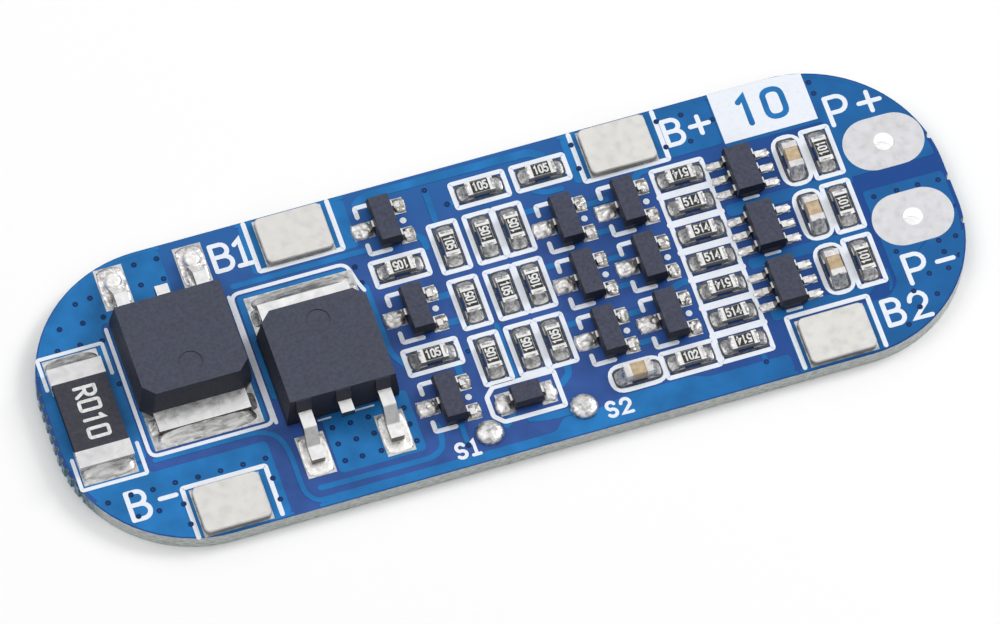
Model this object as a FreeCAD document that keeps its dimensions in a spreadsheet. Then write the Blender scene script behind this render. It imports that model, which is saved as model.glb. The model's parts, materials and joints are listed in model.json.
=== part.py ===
import FreeCAD, Part
import math
import os
import re
import Sketcher
from FreeCAD import Vector

# A three-cell battery management board: a blue circuit board that lies across the ends of three
# cells, with two power transistors, a current shunt, four welded cell tabs, two wire pads and the
# small chips that watch and balance the cells.
# Frame: origin under the middle of the board, +X along its length towards the wire pads,
# +Y across it towards the far long edge, +Z up through the parts. Millimetres.

os.makedirs("parts", exist_ok=True)
doc = FreeCAD.newDocument("battery_management_board")

# Driving sizes
SIZES = (
    ("board_width", 18.3, "across the two long edges"),
    ("board_thickness", 1.0, "laminate with its coats"),
    ("end_straight", 2.7, "straight part of each end, between its round corners"),
    ("bite_radius", 0.19, "perforation left where an end was snapped off the panel"),
    ("bite_pitch", 0.71, "spacing of the perforation"),
    ("left_bite_row", 2.2, "farthest perforation on the shunt end"),
    ("right_bite_row", 3.0, "farthest perforation on the wire end"),
    ("foil_thickness", 0.04, "tinned land above the coat"),
    ("ink_thickness", 0.03, "white print"),
    ("ink_line", 0.24, "width of a printed line"),
    ("end_to_shunt", 2.4, "board end to the shunt"),
    ("shunt_to_switch", 5.95, "shunt to the left power transistor"),
    ("switch_to_switch", 7.5, "between the power transistors"),
    ("switch_to_gate", 5.77, "right power transistor to the gate column"),
    ("gate_to_bleed", 3.05, "gate column to the bleed block"),
    ("bleed_to_pair", 2.1, "first bleed column to the pair"),
    ("pair_pitch", 1.68, "between the paired bleed columns"),
    ("pair_to_driver", 2.88, "pair to the first driver column"),
    ("driver_pitch", 3.65, "between the driver columns"),
    ("driver_to_sense", 3.4, "second driver column to the sense ladder"),
    ("sense_to_monitor", 3.4, "sense ladder to the monitor chips"),
    ("monitor_to_filter", 2.95, "monitor chips to the filter capacitors"),
    ("filter_pitch", 1.77, "filter capacitor to filter resistor"),
    ("filter_to_wire", 3.53, "filter resistors to the wire pads"),
    ("wire_to_end", 2.77, "wire pads to the board end"),
    ("rows_drawn_for", 18.3, "board width the rows below are given for; they keep their share of another"),
    ("row_pitch", 3.7, "rows of drivers and monitors"),
    ("bleed_row_pitch", 3.67, "rows of the bleed block"),
    ("bleed_row_shift", 0.57, "middle bleed row off the centre line"),
    ("filter_row_pitch", 3.6, "rows of the filter parts"),
    ("filter_row_shift", 0.15, "middle filter row off the centre line"),
    ("sense_row_pitch", 1.83, "rungs of the sense ladder"),
    ("sense_row_shift", 0.89, "middle rung below the centre line"),
    ("gate_row_pitch", 5.81, "rows of the gate column"),
    ("gate_row_shift", 0.78, "middle gate transistor off the centre line"),
    ("gate_chip_shift", 0.84, "middle between the two gate resistors"),
    ("left_switch_inset", 7.1, "left power transistor in from the far edge"),
    ("right_switch_inset", 9.81, "right power transistor in from the far edge"),
    ("far_row_inset", 1.97, "upper chip row in from the far edge"),
    ("near_row_inset", 2.69, "lower chip row in from the near edge"),
    ("diode_inset", 3.1, "diode in from the near edge"),
    ("diode_offset", 1.08, "diode right of the first bleed column"),
    ("test_pad_drop", 2.47, "test points below the last gate transistor"),
    ("tab_inset", 1.68, "cell tabs in from the long edges"),
    ("plus_pad_row", 3.37, "positive wire pad off the centre line"),
    ("minus_pad_row", 1.62, "negative wire pad below the centre line"),
    ("wire_pad_length", 4.7, "oval wire pad"),
    ("wire_pad_width", 3.3, "oval wire pad"),
    ("wire_hole_diameter", 1.1, "plated hole in each wire pad"),
    ("barrel_wall", 0.17, "copper and tin lining of the hole"),
    ("test_pad_radius", 0.8, "solder dome on a test point"),
    ("test_dome_height", 0.34, "solder dome on a test point"),
    ("tab_length", 3.9, "nickel cell tab along the board"),
    ("tab_width", 2.9, "nickel cell tab across the board"),
    ("tab_thickness", 0.4, "nickel cell tab"),
    ("tab_corner_radius", 0.35, "nickel cell tab"),
    ("tab_edge_bevel", 0.06, "bevelled upper edge of the tab"),
    ("tab_frame_margin", 0.62, "printed frame around a tab"),
    ("switch_width", 6.5, "power transistor mould at its parting line"),
    ("switch_length", 6.2, "power transistor mould"),
    ("switch_height", 2.3, "power transistor mould"),
    ("switch_draft", 0.2, "lean of each mould wall"),
    ("switch_corner", 0.62, "cut corners at the tab end"),
    ("switch_skirt", 0.55, "upright foot of the mould wall"),
    ("ejector_radius", 0.68, "round ejector mark"),
    ("ejector_depth", 0.05, "round ejector mark"),
    ("ejector_inset", 1.55, "ejector mark in from the tab end"),
    ("drain_width", 5.3, "drain tab"),
    ("drain_thickness", 0.5, "drain tab and leads"),
    ("drain_reach", 1.22, "drain tab beyond the mould"),
    ("lead_pitch", 2.3, "power transistor leads"),
    ("lead_width", 0.76, "power transistor leads"),
    ("lead_top", 1.45, "upper face of a lead where it leaves the mould"),
    ("lead_reach", 2.7, "mould to lead tip"),
    ("lead_foot", 0.8, "flat foot of a lead"),
    ("lead_knee", 1.1, "straight run of a lead before its knee"),
    ("lead_bend_radius", 0.16, "inner bends of a lead"),
    ("lead_anchor", 0.6, "lead inside the mould"),
    ("stub_reach", 0.85, "cut middle lead"),
    ("shroud_margin", 0.12, "moulding round a lead root, wider than the lead"),
    ("shroud_reach", 0.32, "moulding round a lead root, at its foot"),
    ("shroud_lip", 0.05, "moulding round a lead root, at the top of the mould"),
    ("drain_land_width", 6.3, "soldered land under the drain tab"),
    ("drain_land_reach", 0.85, "that land beyond the tab"),
    ("lead_land_width", 1.65, "soldered land of a power lead"),
    ("lead_land_reach", 0.8, "that land beyond the lead tip"),
    ("lead_land_length", 2.65, "soldered land of a power lead"),
    ("power_fillet_height", 0.42, "solder slope on the power parts"),
    ("shunt_length", 6.35, "current shunt, across the board"),
    ("shunt_width", 3.15, "current shunt, along the board"),
    ("shunt_height", 0.62, "current shunt"),
    ("shunt_cap", 1.02, "end cap of the shunt"),
    ("chip_length", 1.6, "small resistors and capacitors"),
    ("chip_width", 0.82, "small resistors and capacitors"),
    ("chip_height", 0.45, "small resistors"),
    ("chip_cap", 0.3, "end cap of a small resistor"),
    ("cap_film", 0.035, "metal film round a chip end"),
    ("capacitor_height", 0.8, "small capacitors"),
    ("capacitor_cap", 0.38, "end cap of a small capacitor"),
    ("chip_land_inside", 0.35, "chip land under the chip"),
    ("chip_land_outside", 0.6, "chip land beyond the chip"),
    ("land_margin", 0.12, "land wider than the chip or lead"),
    ("chip_fillet_height", 0.3, "solder slope on a chip end"),
    ("sot_length", 2.9, "small transistor mould"),
    ("sot_width", 1.3, "small transistor mould"),
    ("sot_height", 1.1, "small transistor and monitor moulds"),
    ("sot_draft", 0.08, "lean of each small mould wall"),
    ("sot_pitch", 0.95, "lead pitch of the small moulds"),
    ("sot_lead_width", 0.4, "leads of the small moulds"),
    ("sot_lead_thickness", 0.13, "leads of the small moulds"),
    ("sot_lead_reach", 0.55, "mould to lead tip"),
    ("sot_lead_top", 0.62, "upper face of a small lead at the mould"),
    ("sot_lead_anchor", 0.15, "small lead inside the mould"),
    ("sot_knee", 0.1, "straight run of a small lead"),
    ("sot_heel", 0.24, "mould to the foot of a small lead"),
    ("sot_standoff", 0.06, "small moulds clear of the board"),
    ("tail_land_length", 1.2, "land of the single lead of a small transistor"),
    ("tail_land_outside", 0.65, "that land beyond the lead tip"),
    ("sot_land_length", 0.85, "land of a small lead"),
    ("sot_land_width", 1.0, "land of a small lead"),
    ("sot_land_outside", 0.25, "that land beyond the lead tip"),
    ("monitor_lead_width", 0.38, "leads of a monitor chip"),
    ("monitor_land_length", 1.0, "land of a monitor lead"),
    ("monitor_land_width", 0.52, "land of a monitor lead"),
    ("monitor_land_outside", 0.45, "that land beyond the lead tip"),
    ("monitor_width", 1.6, "monitor chip mould"),
    ("diode_lead_reach", 0.38, "diode mould to lead tip"),
    ("diode_land_length", 0.9, "land of a diode lead"),
    ("diode_land_width", 1.4, "land of a diode lead"),
    ("diode_land_outside", 0.4, "that land beyond the lead tip"),
    ("diode_length", 1.75, "diode mould"),
    ("diode_width", 1.25, "diode mould"),
    ("diode_height", 0.9, "diode mould"),
    ("print_length", 3.34, "printed frame of a chip"),
    ("print_width", 1.83, "printed frame of a chip"),
    ("ladder_length", 3.25, "printed frame of the sense ladder"),
    ("mark_along", 1.4, "printed corner mark of a small transistor, its long arm"),
    ("mark_across", 0.76, "printed corner mark of a small transistor, its short arm"),
    ("mark_out", 1.4, "that mark left of the transistor's middle"),
    ("mark_end", 1.64, "that mark above and below the transistor's middle"),
    ("dot_out", 1.1, "printed dot right of the transistor's middle"),
    ("block_length", 5.5, "white printed block"),
    ("block_width", 3.1, "white printed block"),
    ("dot_radius", 0.18, "printed dot beside a small transistor"),
)

sheet = doc.addObject("Spreadsheet::Sheet", "Sizes")
for row, (alias, number, note) in enumerate(SIZES, start=1):
    sheet.set(f"A{row}", note)
    sheet.set(f"B{row}", str(number))
    sheet.setAlias(f"B{row}", alias)
ruler = doc.addObject("Part::Vertex", "ruler")
doc.recompute()


def size(name):
    """The number in a cell of the sheet."""
    return float(sheet.get(name))


def formula(text):
    """Point every size name in a formula at its cell."""
    return re.sub(r"[a-z]+(?:_[a-z0-9]+)+", r"Sizes.\g<0>", str(text))


def value(rule):
    """The length that a formula of the sizes gives now, read off the ruler."""
    ruler.setExpression("X", formula(rule))
    ruler.recompute()
    return ruler.X.Value


def bind(thing, **rules):
    """Tie properties of an object to formulas of the sizes; __ stands for a dot."""
    for name, rule in rules.items():
        thing.setExpression(name.replace("__", "."), formula(rule))
    return thing


def place(thing, x="0", y="0", z="0", turn="0"):
    """Tie an object's place to formulas; it turns about the upward axis."""
    thing.Placement.Rotation = FreeCAD.Rotation(Vector(0, 0, 1), 0)
    bind(thing, Placement__Base__x=x, Placement__Base__y=y, Placement__Base__z=z)
    if turn != "0":
        bind(thing, Placement__Rotation__Angle=turn)
    return thing


# Plain solids, cuts and groups
def box(name, along, across, high, x="0", y="0", z="0"):
    """A block centred at x and y that stands on z."""
    block = bind(doc.addObject("Part::Box", name), Length=along, Width=across, Height=high)
    return place(block, f"({x}) - ({along}) / 2", f"({y}) - ({across}) / 2", z)


def rod(name, radius, high, x="0", y="0", z="0"):
    """An upright cylinder."""
    return place(bind(doc.addObject("Part::Cylinder", name), Radius=radius, Height=high), x, y, z)


def facets(name, radius, high, x="0", y="0", z="0", sides=12):
    """An upright cylinder in flats, for round details too small to need a true curve."""
    stick = bind(doc.addObject("Part::Prism", name), Circumradius=radius, Height=high)
    stick.Polygon = sides
    return place(stick, x, y, z)


def cut(name, base, tool):
    result = doc.addObject("Part::Cut", name)
    result.Base = base
    result.Tool = tool
    return result


def fuse(name, *pieces):
    result = doc.addObject("Part::MultiFuse", name)
    result.Shapes = list(pieces)
    return result


def group(name, pieces):
    """Several separate solids that make one sub-part."""
    result = doc.addObject("Part::Compound", name)
    result.Links = list(pieces)
    return result


def copy_of(source, x="0", y="0", z="0", turn="0"):
    """The same piece again, somewhere else."""
    link = doc.addObject("App::Link", source.Name + "_copy")
    link.LinkedObject = source
    link.LinkTransform = True
    return place(link, x, y, z, turn)


def ring(name, outline, along, across, high):
    """A printed frame, one line wide, between two sizes of the same outline."""
    outer = outline(name + "_outer", along, across, high)
    inner = outline(name + "_inner", f"{along} - 2 * ink_line", f"{across} - 2 * ink_line", high)
    return cut(name, outer, inner)


def slot(name, along, across, high, end=rod):
    """An upright plate with round ends, centred on its place."""
    middle = box(name + "_middle", f"({along}) - ({across})", across, high)
    offset = f"(({along}) - ({across})) / 2"
    ends = [end(f"{name}_end", f"({across}) / 2", high, f"{side} * {offset}") for side in (-1, 1)]
    return fuse(name, middle, *ends)


def printed_slot(name, along, across, high):
    return slot(name, along, across, high, facets)


# Sketches
def new_sketch(body, name, role="XY_Plane", lift=None):
    """A sketch on one of its body's own planes, raised by a formula if one is given."""
    sketch = body.newObject("Sketcher::SketchObject", name)
    plane = next(item for item in body.Origin.OriginFeatures if item.Role == role)
    sketch.AttachmentSupport = (plane, [""])
    sketch.MapMode = "FlatFace"
    if lift is not None:
        bind(sketch, AttachmentOffset__Base__z=lift)
    return sketch


def closed_outline(sketch, points):
    """Straight lines through the points, joined end to end; returns their numbers."""
    lines = []
    for start, end in zip(points, points[1:] + points[:1]):
        lines.append(sketch.addGeometry(Part.LineSegment(Vector(*start, 0), Vector(*end, 0))))
    for line, following in zip(lines, lines[1:] + lines[:1]):
        sketch.addConstraint(Sketcher.Constraint("Coincident", line, 2, following, 1))
    return lines


def dimension(sketch, name, rule, kind, *where):
    """A named dimension tied to a formula."""
    index = sketch.addConstraint(Sketcher.Constraint(kind, *where, value(rule)))
    sketch.renameConstraint(index, name)
    sketch.setExpression("Constraints." + name, formula(rule))


def rectangle(sketch, along, across):
    """A rectangle centred on the sketch's origin."""
    a, b = value(along) / 2, value(across) / 2
    low, right, top, left = closed_outline(sketch, [(-a, -b), (a, -b), (a, b), (-a, b)])
    for line in (low, top):
        sketch.addConstraint(Sketcher.Constraint("Horizontal", line))
    for line in (left, right):
        sketch.addConstraint(Sketcher.Constraint("Vertical", line))
    sketch.addConstraint(Sketcher.Constraint("Symmetric", low, 1, top, 1, -1, 1))
    dimension(sketch, "along", along, "DistanceX", low, 1, low, 2)
    dimension(sketch, "across", across, "DistanceY", right, 1, right, 2)


def pad(body, sketch, name, length, symmetric=False):
    feature = body.newObject("PartDesign::Pad", name)
    feature.Profile = sketch
    if symmetric:
        feature.SideType = "Symmetric"
    return bind(feature, Length=length)


def drafted_mould(name, levels):
    """A moulded block: a loft through centred rectangles, each given as along, across, height."""
    body = doc.addObject("PartDesign::Body", name)
    sketches = []
    for number, (along, across, height) in enumerate(levels):
        sketch = new_sketch(body, f"{name}_level_{number}", lift=height)
        rectangle(sketch, along, across)
        sketches.append(sketch)
    doc.recompute()
    loft = body.newObject("PartDesign::AdditiveLoft", name + "_loft")
    loft.Profile = sketches[0]
    loft.Sections = sketches[1:]
    loft.Ruled = True
    return body


def gull_wing(name, root, knee, heel, tip, top, thick, wide, bend=None):
    """A formed lead seen from the side: out of the mould along +X, down a slope, flat to its tip."""
    body = doc.addObject("PartDesign::Body", name)
    sketch = new_sketch(body, name + "_side", "XZ_Plane")
    a, b, c, d, e, t = (value(rule) for rule in (root, knee, heel, tip, top, thick))
    shift = t * math.tan(math.atan2(e - t, c - b) / 2)
    outline = [(a, e), (b, e), (c, t), (d, t), (d, 0), (c - shift, 0), (b - shift, e - t), (a, e - t)]
    lines = closed_outline(sketch, outline)
    roof, slope, foot, end, sole, under_slope, under_roof, butt = lines
    for line in (roof, foot, sole, under_roof):
        sketch.addConstraint(Sketcher.Constraint("Horizontal", line))
    for line in (end, butt):
        sketch.addConstraint(Sketcher.Constraint("Vertical", line))
    sketch.addConstraint(Sketcher.Constraint("PointOnObject", sole, 1, -1))
    sketch.addConstraint(Sketcher.Constraint("Parallel", slope, under_slope))
    dimension(sketch, "root", root, "DistanceX", -1, 1, roof, 1)
    dimension(sketch, "knee", knee, "DistanceX", -1, 1, roof, 2)
    dimension(sketch, "heel", heel, "DistanceX", -1, 1, foot, 1)
    dimension(sketch, "tip", tip, "DistanceX", -1, 1, foot, 2)
    dimension(sketch, "top", top, "DistanceY", -1, 1, roof, 1)
    dimension(sketch, "foot_thick", thick, "DistanceY", end, 2, end, 1)
    dimension(sketch, "roof_thick", thick, "DistanceY", butt, 1, butt, 2)
    dimension(sketch, "slope_thick", thick, "Distance", roof, 2, under_slope)
    strip = pad(body, sketch, name + "_strip", wide, symmetric=True)
    doc.recompute()
    if bend is not None:
        bends = []
        for number, edge in enumerate(strip.Shape.Edges, start=1):
            middle = edge.CenterOfMass
            crosswise = abs(edge.tangentAt(edge.FirstParameter).y) > 0.99
            if crosswise and a + 0.01 < middle.x < d - 0.01:
                bends.append(f"Edge{number}")
        fillet = body.newObject("PartDesign::Fillet", name + "_bends")
        fillet.Base = (strip, bends)
        bind(fillet, Radius=bend)
    return body


# Columns along the board, from its shunt end to its wire end
COLUMN_STEPS = (
    ("shunt", "end_to_shunt"),
    ("left_switch", "shunt_to_switch"),
    ("right_switch", "switch_to_switch"),
    ("gate", "switch_to_gate"),
    ("bleed_1", "gate_to_bleed"),
    ("bleed_2", "bleed_to_pair"),
    ("bleed_3", "pair_pitch"),
    ("driver_1", "pair_to_driver"),
    ("driver_2", "driver_pitch"),
    ("sense", "driver_to_sense"),
    ("monitor", "sense_to_monitor"),
    ("capacitor", "monitor_to_filter"),
    ("filter", "filter_pitch"),
    ("wire", "filter_to_wire"),
    ("end", "wire_to_end"),
)
LENGTH = "(" + " + ".join(step for name, step in COLUMN_STEPS) + ")"
column = {}
reach = f"-{LENGTH} / 2"
for name, step in COLUMN_STEPS:
    reach += " + " + step
    column[name] = reach

# Rows across the board and heights
FAR = "board_width / 2"
NEAR = "-board_width / 2"
CORNER = "((board_width - end_straight) / 2)"
SHARE = "board_width / rows_drawn_for"
INK = "board_thickness"
SEAT = "board_thickness + foil_thickness"
driver_rows = [f"{step} * row_pitch * {SHARE}" for step in (1, 0, -1)]
bleed_rows = [f"(bleed_row_shift + {step} * bleed_row_pitch) * {SHARE}" for step in (1, 0, -1)]
filter_rows = [f"(filter_row_shift + {step} * filter_row_pitch) * {SHARE}" for step in (1, 0, -1)]
rung = f"(sense_row_pitch * {SHARE})"
sense_rows = [f"{step} * {rung} - sense_row_shift * {SHARE}" for step in (3, 2, 1, 0, -1, -2, -3)]
gate_rows = [f"(gate_row_shift + {step} * gate_row_pitch) * {SHARE}" for step in (1, 0, -1)]
gate_chip_rows = [f"(gate_chip_shift + {side} * gate_row_pitch / 2) * {SHARE}" for side in (1, -1)]
far_chip_row = f"{FAR} - far_row_inset * {SHARE}"
near_chip_row = f"{NEAR} + near_row_inset * {SHARE}"
far_tab_row = f"{FAR} - tab_inset * {SHARE}"
near_tab_row = f"{NEAR} + tab_inset * {SHARE}"
test_row = f"{gate_rows[-1]} - test_pad_drop"
left_switch_row = f"{FAR} - left_switch_inset"
right_switch_row = f"{FAR} - right_switch_inset"

# Places of the small chips: along, across, quarter turns
BIAS_CHIPS = [
    (column["bleed_2"] + " + 0.65", far_chip_row, "0"),
    (column["bleed_2"] + " + 0.65 + print_length + ink_line", far_chip_row, "0"),
    (column["gate"], gate_chip_rows[0], "0"),
    (column["gate"], gate_chip_rows[1], "0"),
    (column["driver_2"] + " + 0.25", near_chip_row, "0"),
]
BLEED_CHIPS = [(column[name], row, "90") for name in ("bleed_1", "bleed_2", "bleed_3") for row in bleed_rows]
SENSE_CHIPS = [(column["sense"], row, "0") for row in sense_rows]
FILTER_CHIPS = [(column["filter"], row, "90") for row in filter_rows]
CAPACITORS = [(column["capacitor"], row, "90") for row in filter_rows]
CAPACITORS.append((column["driver_1"] + " + 0.8", near_chip_row, "0"))
GATE_SOTS = [(column["gate"], row) for row in gate_rows]
DRIVER_SOTS = [(column[name], row) for name in ("driver_1", "driver_2") for row in driver_rows]
MONITORS = [(column["monitor"], row) for row in driver_rows]
LEFT_SWITCH = (column["left_switch"], left_switch_row, "0")
RIGHT_SWITCH = (column["right_switch"], right_switch_row, "180")
SHUNT = (column["shunt"], "0", "90")
DIODE = (column["bleed_1"] + " + diode_offset", f"{NEAR} + diode_inset * {SHARE}")
TEST_POINTS = [(column["gate"] + " + 1.53", test_row), (column["bleed_3"] + " + 0.2", test_row)]
WIRE_PADS = [(column["wire"], f"{row} * {SHARE}") for row in ("plus_pad_row", "-minus_pad_row")]
TABS = {
    "tab_b_minus": (column["left_switch"] + " - 0.15", near_tab_row, "0"),
    "tab_b1": (column["right_switch"] + " + 0.75", far_tab_row, "180"),
    "tab_b_plus": (column["driver_2"] + " + 0.65", far_tab_row, "180"),
    "tab_b2": (column["monitor"] + " + 1.7", near_tab_row, "0"),
}

nodes = {}


def keep(name, thing):
    """Name a finished sub-part."""
    thing.Label = name
    nodes[name] = thing
    return thing


def spread(name, source, places, height=SEAT):
    """Copies of one piece at many places, as one sub-part."""
    return keep(name, group(name, [copy_of(source, x, y, height, turn) for x, y, turn in places]))


# Board: the outline with its perforated ends, cut for the plated wire holes
def board_outline():
    body = doc.addObject("PartDesign::Body", "laminate")
    sketch = new_sketch(body, "laminate_outline")
    a, b, r = value(LENGTH) / 2, size("board_width") / 2, value(CORNER)
    corners = ((a - r, r - b), (a - r, b - r), (r - a, b - r), (r - a, r - b))
    runs = (
        ((r - a, -b), (a - r, -b)),
        ((a, r - b), (a, b - r)),
        ((a - r, b), (r - a, b)),
        ((-a, b - r), (-a, r - b)),
    )
    lines = []
    arcs = []
    for quarter, ((start, end), middle) in enumerate(zip(runs, corners)):
        lines.append(sketch.addGeometry(Part.LineSegment(Vector(*start, 0), Vector(*end, 0))))
        circle = Part.Circle(Vector(*middle, 0), Vector(0, 0, 1), r)
        turn = (quarter - 1) * math.pi / 2
        arcs.append(sketch.addGeometry(Part.ArcOfCircle(circle, turn, turn + math.pi / 2)))
    for quarter in range(4):
        sketch.addConstraint(Sketcher.Constraint("Tangent", lines[quarter], 2, arcs[quarter], 1))
        sketch.addConstraint(Sketcher.Constraint("Tangent", arcs[quarter], 2, lines[(quarter + 1) % 4], 1))
        flat = "Horizontal" if quarter % 2 == 0 else "Vertical"
        sketch.addConstraint(Sketcher.Constraint(flat, lines[quarter]))
    for other in arcs[1:]:
        sketch.addConstraint(Sketcher.Constraint("Equal", arcs[0], other))
    sketch.addConstraint(Sketcher.Constraint("Symmetric", arcs[0], 3, arcs[2], 3, -1, 1))
    dimension(sketch, "corner", CORNER, "Radius", arcs[0])
    dimension(sketch, "along", LENGTH, "DistanceX", lines[3], 1, lines[1], 1)
    dimension(sketch, "across", "board_width", "DistanceY", lines[0], 1, lines[2], 1)
    pad(body, sketch, "laminate_sheet", "board_thickness")
    return body


def bites(side, count, step):
    """Half holes along one end, where the board was snapped off its panel; they follow the outline."""
    sign = "-" if side == "left" else ""
    holes = []
    for number in range(count):
        row = f"({side}_bite_row - {number * step} * bite_pitch)"
        past = f"(abs({row}) > end_straight / 2 ? abs({row}) - end_straight / 2 : 0)"
        arc = f"sqrt({CORNER} * {CORNER} - {past} * {past})"
        end = f"{sign}({LENGTH} / 2 - {CORNER} + {arc})"
        holes.append(facets(f"{side}_bite", "bite_radius", "board_thickness", end, row, sides=8))
    return holes


# Wire pads: a tinned oval on each face, joined by the plating of the hole
def wire_pad():
    """Returns the plated eyelet and the space that it fills in the board."""
    upper = slot("wire_land", "wire_pad_length", "wire_pad_width", "foil_thickness")
    place(upper, z=INK)
    lower = slot("wire_back_land", "wire_pad_length", "wire_pad_width", "foil_thickness")
    barrel = facets("barrel", "wire_hole_diameter / 2 + barrel_wall", SEAT)
    blank = fuse("wire_pad_blank", upper, lower, barrel)
    drill = rod("drill", "wire_hole_diameter / 2", SEAT)
    return cut("wire_pad", blank, drill), blank


# Cell tabs: nickel plates with round corners and a bevelled upper edge
def cell_tab():
    body = doc.addObject("PartDesign::Body", "nickel_tab")
    sketch = new_sketch(body, "nickel_tab_outline")
    rectangle(sketch, "tab_length", "tab_width")
    plate = pad(body, sketch, "nickel_plate", "tab_thickness")
    doc.recompute()
    corners = [
        f"Edge{number}"
        for number, edge in enumerate(plate.Shape.Edges, start=1)
        if abs(edge.tangentAt(edge.FirstParameter).z) > 0.99
    ]
    rounded = body.newObject("PartDesign::Fillet", "nickel_corners")
    rounded.Base = (plate, corners)
    bind(rounded, Radius="tab_corner_radius")
    doc.recompute()
    rim = [
        f"Edge{number}"
        for number, edge in enumerate(rounded.Shape.Edges, start=1)
        if edge.BoundBox.ZMin > size("tab_thickness") - 0.001
    ]
    bevel = body.newObject("PartDesign::Chamfer", "nickel_rim")
    bevel.Base = (rounded, rim)
    bind(bevel, Size="tab_edge_bevel")
    return body


# Power transistor: a mould with cut corners round a drain tab, a cut middle lead and two formed leads
def cut_corner_level(body, number, along, across, corner, height):
    """One level of the mould: a rectangle whose two corners on the tab side are cut off."""
    sketch = new_sketch(body, f"switch_level_{number}", lift=height)
    a, b, c = value(along) / 2, value(across) / 2, value(corner)
    points = [(-a, c - b), (c - a, -b), (a - c, -b), (a, c - b), (a, b), (-a, b)]
    left_cut, low, right_cut, right, top, left = closed_outline(sketch, points)
    for line in (left, right):
        sketch.addConstraint(Sketcher.Constraint("Vertical", line))
    sketch.addConstraint(Sketcher.Constraint("Symmetric", top, 1, top, 2, -2))
    sketch.addConstraint(Sketcher.Constraint("Symmetric", low, 1, low, 2, -2))
    sketch.addConstraint(Sketcher.Constraint("Equal", left, right))
    dimension(sketch, "along", along, "DistanceX", top, 2, top, 1)
    dimension(sketch, "across", across, "DistanceY", low, 1, top, 2)
    dimension(sketch, "lead_side", f"({across}) / 2", "DistanceY", -1, 1, top, 1)
    dimension(sketch, "corner_along", corner, "DistanceX", left_cut, 1, left_cut, 2)
    dimension(sketch, "corner_across", corner, "DistanceY", left_cut, 2, left_cut, 1)
    return sketch


def power_frame():
    """Drain tab with its cut middle lead, and the gate and source leads."""
    half = "switch_length / 2"
    inner = f"({half} - lead_anchor)"
    tab_run = f"({inner} + {half} + drain_reach)"
    tab_middle = f"({inner} - {half} - drain_reach) / 2"
    tab = box("drain_tab", "drain_width", tab_run, "drain_thickness", "0", tab_middle)
    riser = box("drain_riser", "lead_width", "drain_thickness", "lead_top", "0", f"{inner} - drain_thickness / 2")
    stub_run = "(lead_anchor + stub_reach + drain_thickness)"
    stub_middle = f"{half} + stub_reach - {stub_run} / 2"
    stub = box("drain_stub", "lead_width", stub_run, "drain_thickness", "0", stub_middle, "lead_top - drain_thickness")
    drain = fuse("drain", tab, riser, stub)
    lead = gull_wing(
        "power_lead",
        root=inner,
        knee=f"{half} + lead_knee",
        heel=f"{half} + lead_reach - lead_foot",
        tip=f"{half} + lead_reach",
        top="lead_top",
        thick="drain_thickness",
        wide="lead_width",
        bend="lead_bend_radius",
    )
    leads = [copy_of(lead, f"{side} * lead_pitch", turn="90") for side in (-1, 1)]
    return group("switch_frame", [drain] + leads)


def power_mould(frame):
    """The mould, cut to the shape of the metal inside it, with the ejector mark."""
    body = doc.addObject("PartDesign::Body", "switch_block")
    wide, deep = "switch_width", "switch_length"
    lean = " - 2 * switch_draft"
    levels = ((wide, deep, "0"), (wide, deep, "switch_skirt"), (wide + lean, deep + lean, "switch_height"))
    sketches = [
        cut_corner_level(body, number, along, across, "switch_corner", height)
        for number, (along, across, height) in enumerate(levels)
    ]
    doc.recompute()
    loft = body.newObject("PartDesign::AdditiveLoft", "switch_loft")
    loft.Profile = sketches[0]
    loft.Sections = sketches[1:]
    loft.Ruled = True
    shroud = drafted_mould(
        "lead_shroud",
        (
            ("lead_width + shroud_margin", "2 * shroud_reach", "lead_top"),
            ("lead_width + shroud_margin", "2 * shroud_lip", "switch_height - shroud_lip"),
        ),
    )
    root_row = "switch_length / 2 - switch_draft"
    shrouds = [copy_of(shroud, f"{step} * lead_pitch", root_row) for step in (-1, 0, 1)]
    solid = fuse("switch_solid", body, *shrouds)
    around = cut("switch_around_frame", solid, frame)
    mark_row = "ejector_inset - switch_length / 2"
    mark = rod("ejector", "ejector_radius", "ejector_depth", "0", mark_row, "switch_height - ejector_depth")
    return cut("switch_mould", around, mark)


# Chips: a ceramic block with wrapped metal ends
def end_caps(name, core, length, width, height, cap):
    """Metal caps that wrap both ends of a block."""
    caps = []
    for side in (-1, 1):
        sleeve = box(name + "_sleeve", cap, width, height, f"{side} * ({length} - {cap}) / 2")
        caps.append(cut(name + "_end", sleeve, core))
    return group(name, caps)


def chip_core(name, length, width, height):
    return box(name, f"{length} - 2 * cap_film", f"{width} - 2 * cap_film", f"{height} - 2 * cap_film", z="cap_film")


def resistor():
    """The ceramic, the glass coat over its middle and the two caps."""
    core = chip_core("resistor_core", "chip_length", "chip_width", "chip_height")
    coat = box(
        "resistor_coat",
        "chip_length - 2 * chip_cap",
        "chip_width - 4 * cap_film",
        "1.5 * cap_film",
        z="chip_height - cap_film",
    )
    caps = end_caps("resistor_caps", core, "chip_length", "chip_width", "chip_height", "chip_cap")
    return core, coat, caps


def capacitor():
    core = chip_core("capacitor_core", "chip_length", "chip_width", "capacitor_height")
    caps = end_caps("capacitor_caps", core, "chip_length", "chip_width", "capacitor_height", "capacitor_cap")
    return core, caps


def shunt():
    core = chip_core("shunt_core", "shunt_length", "shunt_width", "shunt_height")
    coat = box(
        "shunt_coat",
        "shunt_length - 2 * shunt_cap",
        "shunt_width - 2 * cap_film",
        "1.5 * cap_film",
        z="shunt_height - cap_film",
    )
    caps = end_caps("shunt_caps", core, "shunt_length", "shunt_width", "shunt_height", "shunt_cap")
    return fuse("shunt_block", core, coat), caps


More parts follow.
